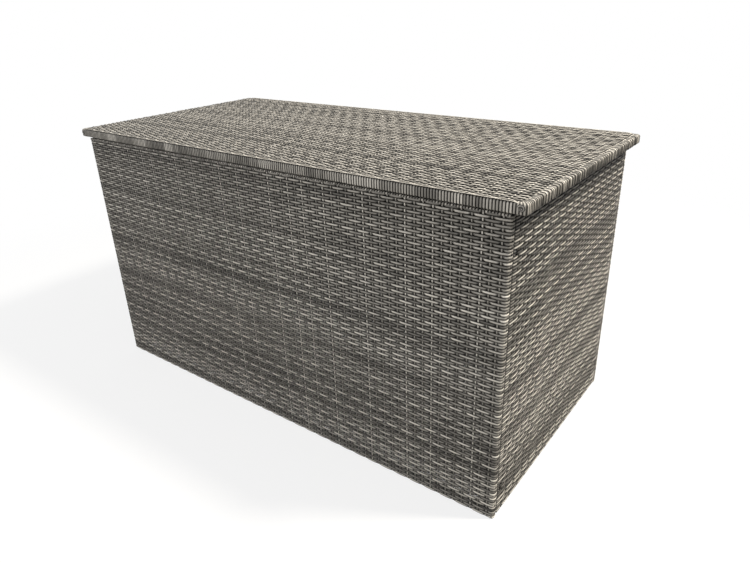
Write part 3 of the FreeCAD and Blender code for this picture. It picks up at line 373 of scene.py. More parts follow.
# what a woven sheet has where it says nothing else
plainSheet = {
    "up": (0, 0, 1),       # rows are counted this way
    "flat": None,          # how far the sheet runs before it bends round a corner
    "wander": 0.55, "gaps": (),
    "windows": (),         # levels at which rows stop beside a bolt opening
    "mix": {}, "lift": 0.0,
    "accents": (),         # single rows that are lighter or darker, by level
    "relief": 1.0, "stretch": 1.0, "sag": 0.3,
    "depth": 1.0,          # how much darker the painted shade makes the rows where they dive
    "crown": 1.0,          # how much of a row's width is in its flanks of painted shade
    "stakeMix": {}, "stakeLift": 0.12, "stakeStray": 0.0,
    "stakeLap": 0.0,       # how high the stakes' ends ride
}


def rowPath(stakeLines, parity, ends, stretch):
    path = [ends[0]]
    for number, line in enumerate(stakeLines):
        if (number + parity) % 2:
            path.append((line, 1.0, 1.0, 1.0))
        else:
            path += [(line + stretch * place, *rest) for place, *rest in diveShape]
    path.append(ends[1])
    return path


def sheetPoints(sheet, along, up, out):
    # from the sheet's own frame: a sheet with a corner bends round it at both ends
    base = np.array(sheet["origin"], float)
    alongAxis, upAxis, outAxis = (np.array(sheet[key], float) for key in ("along", "up", "out"))
    flat = sheet["flat"]
    if flat is None:
        return base + along[..., None] * alongAxis + up[..., None] * upAxis + out[..., None] * outAxis
    radius = sheet["cornerRadius"]
    past = np.abs(along) - flat
    angle = np.clip(past / radius, 0, math.pi / 2)
    beyond = np.maximum(past - radius * math.pi / 2, 0)
    reach = np.minimum(np.abs(along), flat) + (radius + out) * np.sin(angle)
    depth = (radius + out) * np.cos(angle) - radius - beyond
    return (base + (np.sign(along) * reach)[..., None] * alongAxis + up[..., None] * upAxis
            + depth[..., None] * outAxis)


def wanderOf(sheet, along, up):
    form, seed = wanderForm, sheet["seed"]
    stray = smoothNoise(along / form["along"] + form["alongStart"] + form["lean"] * up, seed + 5)
    stray = stray * smoothNoise(up / form["up"] + form["upStart"] + 0 * along, seed + 6)
    shift = sheet["wander"] * form["amount"] * stray
    for gap in sheet["gaps"]:
        fromGap = up - (gap["level"] + gap["slope"] * along)
        shift = shift + gap["width"] / 2 * np.sign(fromGap) * np.exp(-np.abs(fromGap) / form["gapReach"])
    return shift


def rowBatches(sheet, levels, pitch, stakeLines):
    count = len(levels)
    mix = {**toneMix, **sheet["mix"]}
    tones = strandTones(count, sheet["seed"], sheet["lift"], mix)
    for level, change in sheet["accents"]:
        tones[np.argmin(np.abs(levels - level))] += change
    generator = np.random.default_rng(sheet["seed"] + 9)
    jitter = generator.uniform(-weaveForm["jitter"], weaveForm["jitter"], count)
    dashTones = generator.uniform(-1, 1, (count, len(stakeLines)))
    batches = []

    def addRows(numbers, path):
        if len(numbers) == 0:
            return
        place, ride, wide, light = (np.array(column)[None] for column in zip(*path))
        up = levels[numbers][:, None] + jitter[numbers][:, None] + 0 * place
        along = place + 0 * up
        up = up + wanderOf(sheet, along, up) - sheet["sag"] * ride
        out = weaveForm["rowWave"] * sheet["relief"] * (ride + 0 * up)
        dash = np.searchsorted(stakeLines, place[0] + weaveForm["dashShift"])
        dash = np.clip(dash, 0, len(stakeLines) - 1)
        drift = along / weaveForm["driftAlong"] + numbers[:, None] * weaveForm["driftRow"]
        tone = tones[numbers][:, None] + mix["dash"] * dashTones[numbers][:, dash]
        tone = tone + mix["drift"] * smoothNoise(drift, sheet["seed"] + 3)
        batches.append({
            "centre": sheetPoints(sheet, along, up, out), "across": np.array(sheet["up"], float),
            "half": weaveForm["rowHalf"] * pitch / weaveForm["row"] * wide, "rise": weaveForm["rowRise"],
            "tone": tone, "shade": light ** sheet["depth"] + 0 * up, "crown": sheet["crown"],
        })

    for parity in (0, 1):
        rows = np.array([number for number in range(count) if number % 2 == parity])
        cut = np.array([any(abs(levels[row] - window["level"]) < window["tall"] / 2 for window in sheet["windows"])
                        for row in rows])
        left, right = sheet["ends"][parity % len(sheet["ends"])]
        path = rowPath(stakeLines, parity, (left[-1], right[0]), sheet["stretch"])
        full = left[:-1] + path + right[1:]
        addRows(rows[~cut], full)
        if cut.any():
            # rows beside a bolt opening stop short of it
            for start, stop in sheet["openParts"]:
                run = [spot for spot in full if start < spot[0] < stop]
                if start > full[0][0]:
                    run = [(start, *openingEnd)] + run
                if stop < full[-1][0]:
                    run = run + [(stop, *openingEnd)]
                addRows(rows[cut], run)
    return batches


def stakeBatches(sheet, levels, stakeLines):
    tones = strandTones(len(stakeLines), sheet["seed"] + 20, sheet["stakeLift"], sheet["stakeMix"])
    bottom, top = sheet["stakeEnds"]
    end = (sheet["stakeLap"], 0.9, 0.6 + 0.2 * sheet["stakeLap"])
    batches = []
    for parity in (0, 1):
        stakes = np.array([number for number in range(len(stakeLines)) if number % 2 == parity])
        spots = [(bottom, *end)]
        for row, level in enumerate(levels):
            shape = stakeUnder if (row + parity) % 2 else stakeOver
            spots += [(level + place, *rest) for place, *rest in shape]
        spots.append((top, *end))
        up, ride, wide, light = (np.array(column)[None] for column in zip(*spots))
        along = stakeLines[stakes][:, None] + 0 * up
        up = up + 0 * along
        up = up + wanderOf(sheet, along, up)
        centre = sheetPoints(sheet, along, up, weaveForm["stakeWave"] * (ride + 0 * up))
        batches.append({
            "centre": centre, "across": -np.array(sheet["along"], float),
            "half": weaveForm["stakeHalf"] * wide, "rise": weaveForm["stakeRise"],
            "tone": tones[stakes][:, None], "shade": light,
        })
    return batches


def weaveSheet(sheet, body, node):
    low, high = sheet["rows"]
    count = int(round((high - low) / weaveForm["row"]))
    pitch = (high - low) / count
    levels = low + pitch * (np.arange(count) + 0.5)
    stray = np.random.default_rng(sheet["seed"] + 15).uniform(-1, 1, sheet["stakes"])
    stakeLines = np.linspace(*sheet["stakeRange"], sheet["stakes"]) + stray * sheet["stakeStray"]
    strandPiece(sheet["name"] + "_rows", rowBatches(sheet, levels, pitch, stakeLines), body, [node])
    strandPiece(sheet["name"] + "_stakes", stakeBatches(sheet, levels, stakeLines), body)


def nodeBox(name):
    low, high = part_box(name)
    return np.array(low) / mm, np.array(high) / mm


def mirroredEnds(spots):
    # both ends of a row, from the spots of its right end, outermost first
    return [(-place, *rest) for place, *rest in spots], spots[::-1]


def shapedEnds(reach, shape):
    return mirroredEnds([(reach - inset, *rest) for inset, *rest in shape])


wallLow, wallHigh = nodeBox("front_weave")
rearHigh = nodeBox("rear_weave")[1]
sideLow, sideHigh = nodeBox("right_weave")
topLow, topHigh = nodeBox("lid_weave")
matLow, matHigh = nodeBox("floor_weave")
sheetHalf = 2.0        # half the thickness of a woven sheet
rowsOver = 1.0         # how far the rows go on above a wall's sheet
stakeBelow, stakeAbove = 1.5, 1.6      # how far inside it the stakes end

# front and rear walls: the rows go round the corner posts and end at the seams behind them
wallBend = 6.0
wallFlat = wallHigh[0] - sheetHalf - wallBend
seamDepth = wallHigh[1] - wallLow[1] - sheetHalf - wallBend
wallEnd = wallFlat + wallBend * math.pi / 2 + seamDepth
# the last number of each spot paints a highlight on the proud rows as they turn the corner post, and painted shade on
# the tucked rows and at the seam
proudEnd = [
    (wallEnd - 0.4, -0.5, 0.9, 0.4), (wallEnd - 2.6, 0.3, 0.98, 0.9), (wallEnd - 7.0, 0.5, 1.0, 1.0),
    (wallFlat + 6.4, 0.5, 1.0, 1.1), (wallFlat + 3.2, 0.5, 1.0, 1.15), (wallFlat, 0.5, 1.0, 1.1),
]
tuckedEnd = [
    (wallEnd - 0.4, -0.6, 0.9, 0.3), (wallEnd - 2.6, 0.1, 0.98, 0.7), (wallEnd - 6.4, -0.7, 1.0, 0.4),
    (wallFlat + 6.4, 0.2, 1.0, 0.9), (wallFlat + 3.2, 0.3, 1.0, 1.0), (wallFlat, 0.3, 1.0, 0.95),
]
longWall = {
    **plainSheet, "mix": {"spread": (1.35, 0.9)}, "depth": 1.1, "sag": 0.55,
    "flat": wallFlat, "cornerRadius": wallBend, "ends": (mirroredEnds(proudEnd), mirroredEnds(tuckedEnd)),
    "rows": (wallLow[2], wallHigh[2] + rowsOver), "stakes": 63, "stakeRange": (-709.8, 709.8),
    "stakeEnds": (wallLow[2] + stakeBelow, wallHigh[2] - stakeAbove),
    "stakeStray": 1.8, "stakeLift": 0.10, "stakeMix": {"lightShare": 0.26, "middle": (0.34, 0.46)},
}
frontWall = {
    **longWall, "name": "front_wall", "seed": 11,
    "origin": (0, wallLow[1] + sheetHalf, 0), "along": (1, 0, 0), "out": (0, -1, 0),
}
rearWall = {
    **longWall, "name": "rear_wall", "seed": 23,
    "origin": (0, rearHigh[1] - sheetHalf, 0), "along": (-1, 0, 0), "out": (0, 1, 0),
}

# side walls: they sit between the front and rear walls, and have an opening at each bolt
sideReach = (sideHigh[1] - sideLow[1]) / 2
sideMiddle = (sideLow[1] + sideHigh[1]) / 2
sideStake = 22.65
boltLow, boltHigh = nodeBox("panel_bolts")
openingInset, openingHalf = 4.6, 4.2      # from the heads' far edges to the middle of an opening, and its half width
boltLine = (boltHigh[1] - boltLow[1]) / 2 - openingInset
sideWall = {
    **plainSheet, "lift": 0.06, "sag": 0.5, "wander": 1.4, "relief": 1.2, "stretch": 0.85, "crown": 1.3, "depth": 1.35,
    # the side walls darken towards the top with painted shade under the lid
    "mix": {"lightShare": 0.25, "light": (0.84, 1.08), "middle": (0.31, 0.49), "dark": (0.15, 0.27),
            "dash": 0.14, "drift": 0.07, "paintedTopShade": 0.26},
    "rows": (sideLow[2] + 3.0, sideHigh[2] + rowsOver),
    "ends": (shapedEnds(sideReach, [(0.1, -1.5, 0.85, 0.2), (1.2, -0.2, 0.95, 0.6), (6, 0.35, 1.0, 1.0)]),),
    "windows": ({"level": 86.0, "tall": 20.0}, {"level": 683.0, "tall": 20.0}),
    "openParts": ((-sideReach, -boltLine - openingHalf), (-boltLine + openingHalf, boltLine - openingHalf),
                  (boltLine + openingHalf, sideReach)),
    "stakes": 29, "stakeRange": (-14 * sideStake, 14 * sideStake),
    "stakeEnds": (sideLow[2] + stakeBelow, sideHigh[2] - stakeAbove), "stakeStray": 2.2, "stakeLift": -0.08,
    "stakeMix": {"lightShare": 0.10, "middle": (0.20, 0.32), "dark": (0.10, 0.2)},
}
rightWall = {
    **sideWall, "name": "right_wall", "seed": 37,
    "origin": (sideHigh[0] - sheetHalf, sideMiddle, 0), "along": (0, 1, 0), "out": (1, 0, 0),
    "gaps": ({"level": 351.0, "slope": 0.0, "width": 1.9}, {"level": 131.0, "slope": -0.041, "width": 1.6}),
}
leftWall = {
    **sideWall, "name": "left_wall", "seed": 41,
    "origin": (sheetHalf - sideHigh[0], sideMiddle, 0), "along": (0, -1, 0), "out": (-1, 0, 0),
    "gaps": ({"level": 420.0, "slope": 0.01, "width": 1.6},),
}

# the lid's top and the floor lie flat, and their rows end under a binding
lyingFlat = {**plainSheet, "along": (1, 0, 0), "up": (0, 1, 0), "out": (0, 0, 1)}
flatEnd = [(0, -0.9, 0.8, 0.4), (3.5, 0.3, 0.95, 0.9)]
lidMiddle = (topLow[1] + topHigh[1]) / 2
lidSheet = {
    **lyingFlat, "name": "lid_top", "seed": 53, "origin": (0, lidMiddle, topHigh[2] - sheetHalf),
    "relief": 1.5, "stretch": 1.2, "wander": 0.7, "depth": 2.4, "lift": 0.02, "crown": 1.35,
    "mix": {"lightShare": 0.26, "light": (0.86, 1.08), "middle": (0.52, 0.72), "dark": (0.23, 0.40),
            "dash": 0.24, "spread": (1.15, 1.8)},
    "accents": ((-293.5, 0.22), (-300.5, -0.08), (-140.0, 0.14)),
    "rows": (topLow[1] + 3.0 - lidMiddle, topHigh[1] - 3.0 - lidMiddle), "ends": (shapedEnds(747.0, flatEnd),),
    "stakes": 65, "stakeRange": (-733.6, 733.6), "stakeEnds": (-356.0, 356.0), "stakeLap": 2.4,
}
matReach = (matHigh[1] - matLow[1]) / 2
floorSheet = {
    **lyingFlat, "name": "floor_mat", "seed": 67, "lift": -0.05,
    "origin": (0, (matLow[1] + matHigh[1]) / 2, matHigh[2] - sheetHalf),
    "rows": (-matReach + 0.5, matReach - 0.5), "ends": (shapedEnds(matHigh[0] - 0.5, flatEnd),),
    "stakes": 61, "stakeRange": (-690.0, 690.0), "stakeEnds": (-340.0, 340.0),
}

weaveSheet(frontWall, "box", "front_weave")
weaveSheet(rearWall, "box", "rear_weave")
weaveSheet(rightWall, "box", "right_weave")
weaveSheet(leftWall, "box", "left_weave")
weaveSheet(floorSheet, "box", "floor_weave")
weaveSheet(lidSheet, "lid", "lid_weave")
print("woven sheets made")


def arcSpots(centre, radius, fromAngle, toAngle, count):
    angles = np.radians(np.linspace(fromAngle, toAngle, count))
    return [(centre[0] + radius * math.cos(angle), centre[1] + radius * math.sin(angle)) for angle in angles]


def bindingBatch(profile, starts, inward, edgeAlong, half, rise, tone, squeeze=1.0):
    # strand wound side by side over an edge: profile holds how far in from the edge, and how high
    depth = np.array([spot[0] for spot in profile])[None] * squeeze
    height = np.array([spot[1] for spot in profile])
    centre = (starts[:, None] + depth[..., None] * np.array(inward, float)
              + height[None, :, None] * np.array((0, 0, 1.0)))
    return {"centre": centre, "across": -np.array(edgeAlong, float), "half": half, "rise": rise, "tone": tone,
            "section": "ribbon"}


wallBinding = {
    "pitch": 7.0, "half": 3.35, "rise": 0.5, "seed": 81,
    "deep": 15.9,                              # how far in from the face it reaches
    "proud": 1.95,                             # how far it stands above the wall
    "cornerRound": 8.0,
    "face": [(0.9, -4.6), (0.8, -2.2)],        # the profile: up the face, round the lip, flat and down the back
    "lip": ((2.3, -2.1), 1.5), "flat": (6.0, -0.55),
    "back": [(2.5, -0.55), (0.8, -1.6), (0.6, -3.6)],
}


def wallBindings(name, sheet, width, levels):
    # the top and bottom edges of a wall, over and under its rail
    form = wallBinding
    along, inward = np.array(sheet["along"], float), -np.array(sheet["out"], float)
    face = np.array(sheet["origin"], float) - sheetHalf * inward
    count = int(width / form["pitch"])
    stations = (np.arange(count) - (count - 1) / 2) * form["pitch"]
    tones = strandTones(count, form["seed"] + sheet["seed"])[:, None]
    inset = np.zeros(count)
    if sheet["flat"] is not None:
        radius = form["cornerRound"]
        past = np.clip(np.abs(stations) - sheet["flat"], 0, radius - 0.1)
        inset = radius - np.sqrt(radius ** 2 - past ** 2)
    starts = face + stations[:, None] * along + inset[:, None] * inward
    squeeze = (form["deep"] - inset)[:, None] / form["deep"]
    shape = form["face"] + arcSpots(*form["lip"], 180, 90, 3) + [form["flat"]]
    shape += [(form["deep"] - fromBack, height) for fromBack, height in form["back"]]
    batches = []
    for edge, sign in ((levels[0], -1), (levels[1] + form["proud"], 1)):
        profile = [(depth, edge + sign * height) for depth, height in shape][::sign]
        batches.append(bindingBatch(profile, starts, inward, along, form["half"], form["rise"], tones, squeeze))
    strandPiece(name, batches, "box")


wallLevels, sideLevels = (wallLow[2], wallHigh[2]), (sideLow[2], sideHigh[2])
wallBindings("front_wall_binding", frontWall, 2 * wallHigh[0], wallLevels)
wallBindings("rear_wall_binding", rearWall, 2 * wallHigh[0], wallLevels)
wallBindings("right_wall_binding", rightWall, 2 * sideReach - 1, sideLevels)
wallBindings("left_wall_binding", leftWall, 2 * sideReach - 1, sideLevels)

rimLow, rimHigh = nodeBox("lid_side_wraps")
frontLow, frontHigh = nodeBox("lid_front_wrap")
backLow, backHigh = nodeBox("lid_rear_wrap")
lidBinding = {
    "pitch": 7.0, "half": 3.15, "rise": 0.85, "seed": 91,
    "bottom": rimLow[2], "top": rimHigh[2], "clear": (0.1, 0.8),      # inside them by this much
    "tail": [(28.7, 7.0), (28.6, 2.0)],      # up the inner side of the edge tube, from the bottom
    "tailBend": ((26.8, 1.7), 1.7), "under": 16.0,
    "tight": 2.4, "round": 4.6,              # bends at the bottom and the top of the face
    "face": 0.7,                             # from the outside to the middle of the strand
    "tip": [(4.2, 0.1), (1.6, -1.5), (0.0, -3.0)],      # how it tucks in on the top
    "reach": 13.4,
}


def lidProfile(proud=0.0, reach=lidBinding["reach"]):
    # from the inner side of the edge tube, under it, up its face and over the top edge
    form = lidBinding
    low, high = form["bottom"] + form["clear"][0], form["top"] - form["clear"][1]
    bend, tight = form["round"], form["tight"]
    (tailIn, tailUp), tailRadius = form["tailBend"]
    path = [(depth, low + height) for depth, height in form["tail"]]
    path += arcSpots((tailIn, low + tailUp), tailRadius, 0, -90, 2)
    path += [(form["under"], low)]
    path += arcSpots((tight + form["face"] - proud, low + tight), tight, -90, -180, 4)
    path += arcSpots((bend + form["face"] - proud, high - bend + proud), bend, 180, 90, 4)
    (first, rise), *rest = form["tip"]
    path += [(reach - first, high + rise + proud)] + [(reach - back, high + drop) for back, drop in rest]
    return path


# how the light falls off from the crown of the edge to where the strand tucks in, for each point of the profile
lidProfileLight = np.array([0.4, 0.5, 0.6, 0.7, 0.8, 0.8, 0.9, 0.95, 1.0, 1.0, 1.05, 1.1, 1.1, 1.05, 0.6, 0.3])


def downProfile(places, values):
    return np.interp(np.arange(len(lidProfileLight)), places, values)


rimMiddle, rimLength = (rimLow[1] + rimHigh[1]) / 2, rimHigh[1] - rimLow[1]
lidEdges = {
    "front": {"corner": (0, frontLow[1], 0), "along": (1, 0, 0), "inward": (0, 1, 0),
              "length": frontHigh[0] - frontLow[0], "nodes": ["lid_front_wrap"]},
    "rear": {"corner": (0, backHigh[1], 0), "along": (-1, 0, 0), "inward": (0, -1, 0),
             "length": backHigh[0] - backLow[0], "nodes": ["lid_rear_wrap"]},
    "right": {"corner": (rimHigh[0], rimMiddle, 0), "along": (0, 1, 0), "inward": (-1, 0, 0),
              "length": rimLength, "nodes": ["lid_side_wraps"]},
    "left": {"corner": (rimLow[0], rimMiddle, 0), "along": (0, -1, 0), "inward": (1, 0, 0),
             "length": rimLength, "nodes": []},
}

# along the front and rear edges the strand changes every few turns
turnTones = {"levels": [0.32, 0.47, 0.60, 0.80], "shares": [0.28, 0.28, 0.26, 0.18], "run": (2, 8), "stray": 0.09}


def groupedTones(count, seed):
    generator = np.random.default_rng(seed)
    tones = []
    while len(tones) < count:
        level = generator.choice(turnTones["levels"], p=turnTones["shares"])
        tones += [level] * int(generator.integers(*turnTones["run"]))
    return np.array(tones[:count]) + generator.uniform(-turnTones["stray"], turnTones["stray"], count)


longEdge = {"crown": 0.74, "fade": ((9, 10, 11, 12), (1.05, 0.85, 0.3, 0.12))}      # painted shade above its face, which shows in the border's eyes


def longEdgeBatch(edge, starts, seed):
    tones = groupedTones(len(starts), seed)[:, None]
    batch = bindingBatch(lidProfile(), starts, edge["inward"], edge["along"], lidBinding["half"],
                         lidBinding["rise"], tones)
    batch["shade"] = (lidProfileLight * downProfile(*longEdge["fade"]))[None]
    batch["crown"] = longEdge["crown"]
    return batch


# the rows of the lid turn over its ends, unevenly: most stand proud, and some leave a slot of painted shade; light and
# face set painted shade down the edge's face, and crownLight a painted highlight on its crown
sideEdge = {
    "kinds": [{"proud": 0.6, "wide": 1.06, "light": 1.0, "face": 0.46},
              {"proud": -0.3, "wide": 0.94, "light": 0.72, "face": 0.32},
              {"proud": -0.6, "wide": 0.9, "light": 0.45, "face": 0.14}],
    "swapShare": 0.22, "lowShare": 0.12,
    "reach": 15.5, "reachStep": 1.5,         # how far in on the top, and how much further for each next kind
    "lean": 1.5, "lift": 0.02,
    "leanFrom": (5, 9), "faceTo": (8, 10), "crownLight": 1.1,
}


def sideEdgeBatches(edge, starts, seed):
    count, along = len(starts), np.array(edge["along"], float)
    tones = strandTones(count, seed, sideEdge["lift"])[:, None]
    generator = np.random.default_rng(seed + 30)
    swapped = generator.random(count) < sideEdge["swapShare"]
    lower = generator.random(count) < sideEdge["lowShare"]
    lean = generator.uniform(-sideEdge["lean"], sideEdge["lean"], count)
    kinds = (np.arange(count) + swapped) % 2 + lower
    batches = []
    for number, kind in enumerate(sideEdge["kinds"]):
        rows = np.flatnonzero(kinds == number)
        profile = lidProfile(kind["proud"], sideEdge["reach"] + sideEdge["reachStep"] * number)
        batch = bindingBatch(profile, starts[rows], edge["inward"], edge["along"],
                             lidBinding["half"] * kind["wide"], lidBinding["rise"], tones[rows])
        slant = lean[rows, None] * downProfile(sideEdge["leanFrom"], (1.0, 0.0))[None]
        batch["centre"] = batch["centre"] + slant[..., None] * along
        # painted shade down the face of the edge, and a painted highlight on its crown
        faceLight = downProfile(sideEdge["faceTo"], (kind["face"], sideEdge["crownLight"]))
        batch["shade"] = lidProfileLight[None] * kind["light"] * faceLight
        batches.append(batch)
    return batches


# the two strands of the border meet over every second stake and leave a dark eye between
lidBorder = {
    "outer": 2.7, "inner": (11.0, 6.6), "height": 0.5, "half": 2.2, "rise": 1.1, "step": 2.87,
    "outerTone": 0.94, "innerTone": 0.88, "toneStray": 0.08, "toneRun": 31, "seed": 300,
    "eye": (9.0, 19.0),          # from where to where, off a stake, the strands come together
    "eyeLight": 0.92,
    "onStake": {"half": 3, "lift": 0.3, "tone": 0.16},
    "past": 12, "tuck": (16.0, 4.0),      # past the edge's ends, and how long and deep its own ends tuck in
}


def borderBatches(edge, number):
    corner, alongAxis, inward = (np.array(edge[key], float) for key in ("corner", "along", "inward"))
    firstStake, lastStake = lidSheet["stakeRange"]
    stakeStep = (lastStake - firstStake) / (lidSheet["stakes"] - 1)
    reach = edge["length"] / 2 + lidBorder["past"]
    along = np.arange(-reach, reach, lidBorder["step"])[None]
    offStake = np.abs(np.mod(along - firstStake, 2 * stakeStep) - stakeStep)
    eyeStart, eyeEnd = lidBorder["eye"]
    together = np.clip((offStake - eyeStart) / (eyeEnd - eyeStart), 0, 1)
    onStake = np.abs(offStake - stakeStep) < lidBorder["onStake"]["half"]
    tuckLength, tuckDepth = lidBorder["tuck"]
    tuck = tuckDepth * np.clip((np.abs(along) - reach) / tuckLength + 1, 0, 1) ** 2
    stray = lidBorder["toneStray"] * smoothNoise(along / lidBorder["toneRun"], lidBorder["seed"] + number)
    outer, inner = lidBorder["outer"] + 0 * together, np.interp(together, (0, 1), lidBorder["inner"])
    batches = []
    for depth, tone in ((outer, lidBorder["outerTone"]), (inner, lidBorder["innerTone"])):
        centre = corner + along[..., None] * alongAxis + depth[..., None] * inward
        centre[..., 2] = lidBinding["top"] + lidBorder["height"] + lidBorder["onStake"]["lift"] * onStake - tuck
        # the strands take painted shade where they part round an eye
        batches.append({
            "centre": centre, "across": inward, "half": lidBorder["half"], "rise": lidBorder["rise"],
            "tone": tone + lidBorder["onStake"]["tone"] * onStake + stray,
            "shade": lidBorder["eyeLight"] + 0.08 * together, "section": "ribbon",
        })
    return batches


def lidEdgeBindings():
    for number, (side, edge) in enumerate(lidEdges.items()):
        count = int(round(edge["length"] / lidBinding["pitch"]))
        stations = (np.arange(count) - (count - 1) / 2) * (edge["length"] / count)
        starts = np.array(edge["corner"], float) + stations[:, None] * np.array(edge["along"], float)
        seed = lidBinding["seed"] + number
        if side in ("front", "rear"):
            batches = [longEdgeBatch(edge, starts, seed)] + borderBatches(edge, number)
        else:
            batches = sideEdgeBatches(edge, starts, seed)
        strandPiece(f"lid_{side}_binding", batches, "lid", edge["nodes"])


lidEdgeBindings()

faceMiddle = (lidBinding["bottom"] + lidBinding["top"]) / 2      # half way up the edge
cornerKnot = {
    "size": 30.0, "round": 8.0, "turns": 8, "half": 3.6, "rise": 1.0, "seed": 140,
    "inner": 14.0,                 # where its turns end on the lid's top
    "under": 1.5,                  # how near to the lid's inner corner they gather below
    "narrow": (0.42, 0.9),         # how much narrower they get on the top and below
}
cornerCurl = {
    "start": 1.2, "end": 7.4, "turns": 1.35, "turnedBy": 0.6, "flatten": 0.92, "points": 30,
    "inset": 4.5, "up": 0.6, "proud": 0.1, "half": 2.6, "rise": 1.0, "tone": 0.62, "light": (0.10, 0.8),
}


def knotOutline(place):
    # a point on the corner's outline: along one side, round the corner and along the other
    radius = cornerKnot["round"]
    straight = cornerKnot["size"] - radius
    bend = radius * math.pi / 2
    if place < straight:
        return np.array((cornerKnot["size"] - place, 0.0))
    if place < straight + bend:
        angle = (place - straight) / radius
        return np.array((radius - radius * math.sin(angle), radius - radius * math.cos(angle)))
    return np.array((0.0, radius + place - straight - bend))


def knotTurns(cornerX, cornerY, signX, signY, seed):
    # strand wound over the corner, from one side of the lid to the other
    profile = lidProfile()
    size, turns, inner = cornerKnot["size"], cornerKnot["turns"], cornerKnot["inner"]
    whole = 2 * (size - cornerKnot["round"]) + cornerKnot["round"] * math.pi / 2
    centre, across = np.zeros((2, turns, len(profile), 3))
    half = np.zeros((turns, len(profile)))
    topReach, underReach = lidBinding["reach"], lidBinding["tail"][0][0]
    topNarrow, underNarrow = cornerKnot["narrow"]
    for turn in range(turns):
        place = whole * (turn + 0.5) / turns
        past = 2 * (place / whole) - 1
        outer = knotOutline(place)
        run = knotOutline(place + 0.01) - knotOutline(place - 0.01)
        run = run / np.linalg.norm(run)
        top = np.array((inner + (size - inner) * max(-past, 0), inner + (size - inner) * max(past, 0)))
        under = np.full(2, size - cornerKnot["under"]) - (1 - abs(past))
        for spot, (depth, height) in enumerate(profile):
            above = height > faceMiddle
            aim, reach, narrow = (top, topReach, topNarrow) if above else (under, underReach, underNarrow)
            part = min(depth / reach, 1.0)
            plan = outer + (aim - outer) * part
            centre[turn, spot] = (cornerX + signX * plan[0], cornerY + signY * plan[1], height)
            across[turn, spot] = (signX * run[0], signY * run[1], 0)
            half[turn, spot] = cornerKnot["half"] * (1 - part * narrow)
    return {"centre": centre, "across": across * signX * signY, "half": half, "rise": cornerKnot["rise"],
            "tone": groupedTones(turns, seed)[:, None], "shade": lidProfileLight[None], "section": "ribbon"}


def knotCurl(cornerX, cornerY, signX, signY):
    # the binding strand ends in a flat curl on the long face
    form = cornerCurl
    outward = np.linspace(0, 1, form["points"])
    angle = outward * form["turns"] * 2 * math.pi + form["turnedBy"]
    reach = form["start"] + (form["end"] - form["start"]) * outward
    middleX = cornerX + signX * (cornerKnot["round"] + form["inset"])
    curl = np.stack([middleX - signX * reach * np.cos(angle), np.full(len(angle), cornerY - signY * form["proud"]),
                     faceMiddle + form["up"] + form["flatten"] * reach * np.sin(angle)], axis=-1)
    inPlane = np.cross(unit(np.gradient(curl, axis=0)), np.array((0, signY, 0.0)))
    # painted shade, darkest at the curl's centre and lighter outwards along it
    dark, gain = form["light"]
    return {"centre": curl[None], "across": inPlane[None], "half": form["half"], "rise": form["rise"],
            "tone": form["tone"], "shade": (dark + gain * outward)[None], "section": "ribbon"}


def lidCornerKnots():
    batches = []
    corners = ((rimLow[0], frontLow[1], 1, 1), (rimHigh[0], frontLow[1], -1, 1),
               (rimHigh[0], backHigh[1], -1, -1), (rimLow[0], backHigh[1], 1, -1))
    for number, corner in enumerate(corners):
        batches += [knotTurns(*corner, cornerKnot["seed"] + number), knotCurl(*corner)]
    strandPiece("lid_corner_windings", batches, "lid", ["lid_corner_knots"])


lidCornerKnots()
print("bindings made")


# finishes of the frame, hinges and struts
nodeFinishes = {
    "tube_paint": [
        "front_left_post", "front_right_post", "rear_left_post", "rear_right_post",
        "front_top_rail", "front_bottom_rail", "rear_top_rail", "rear_bottom_rail",
        "left_top_rail", "left_bottom_rail", "right_top_rail", "right_bottom_rail",
        "left_front_stile", "left_rear_stile", "right_front_stile", "right_rear_stile",
        "front_uprights", "rear_uprights", "side_uprights", "floor_bearers", "corner_tabs",
        "lid_front_rail", "lid_rear_rail", "lid_left_rail", "lid_right_rail", "lid_cross_bars"],
    "hinge_steel": [
        "left_hinge_box_leaf", "middle_hinge_box_leaf", "right_hinge_box_leaf",
        "left_hinge_lid_leaf", "middle_hinge_lid_leaf", "right_hinge_lid_leaf",
        "hinge_pins", "left_upper_bracket", "right_upper_bracket"],
    "screw_steel": ["box_screws", "lid_screws"],
    "black_bolt": ["panel_bolts"],
    "black_nylon": [
        "foot_glides", "left_cylinder_socket", "right_cylinder_socket", "left_rod_socket", "right_rod_socket"],
    "buffer_rubber": ["lid_bumpers"],
    "cylinder_paint": ["left_strut_cylinder", "right_strut_cylinder"],
    "polished_rod": ["left_strut_rod", "right_strut_rod", "lower_ball_studs", "upper_ball_studs"],
}


def finishNodes():
    for finish, names in nodeFinishes.items():
        for name in names:
            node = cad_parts[name]
            if not node.material_slots:
                node.data.materials.append(hardFinishes[finish])
            for materialSlot in node.material_slots:
                materialSlot.material = hardFinishes[finish]


finishNodes()
print("frame finished")


# overcast light from above and the right, and a floor that shows the shadow near the box and turns white further out
studio = {
    "floorReach": 60, "floor": 0.34, "floorSeen": 0.22, "floorGlow": 0.78, "shadowReach": (1.3, 2.6),
    "zenith": 0.60, "horizon": 0.10, "aim": (0, 0, 0.4),
}
lamps = {
    "key": {"power": 318.0, "place": (3.0, 1.2, 4.4), "size": 0.7, "tint": (1.0, 0.945, 0.85)},
    "fill": {"power": 74.0, "place": (-0.6, -4.6, 2.4), "size": 3.0, "tint": (0.97, 0.98, 1.0)},
}


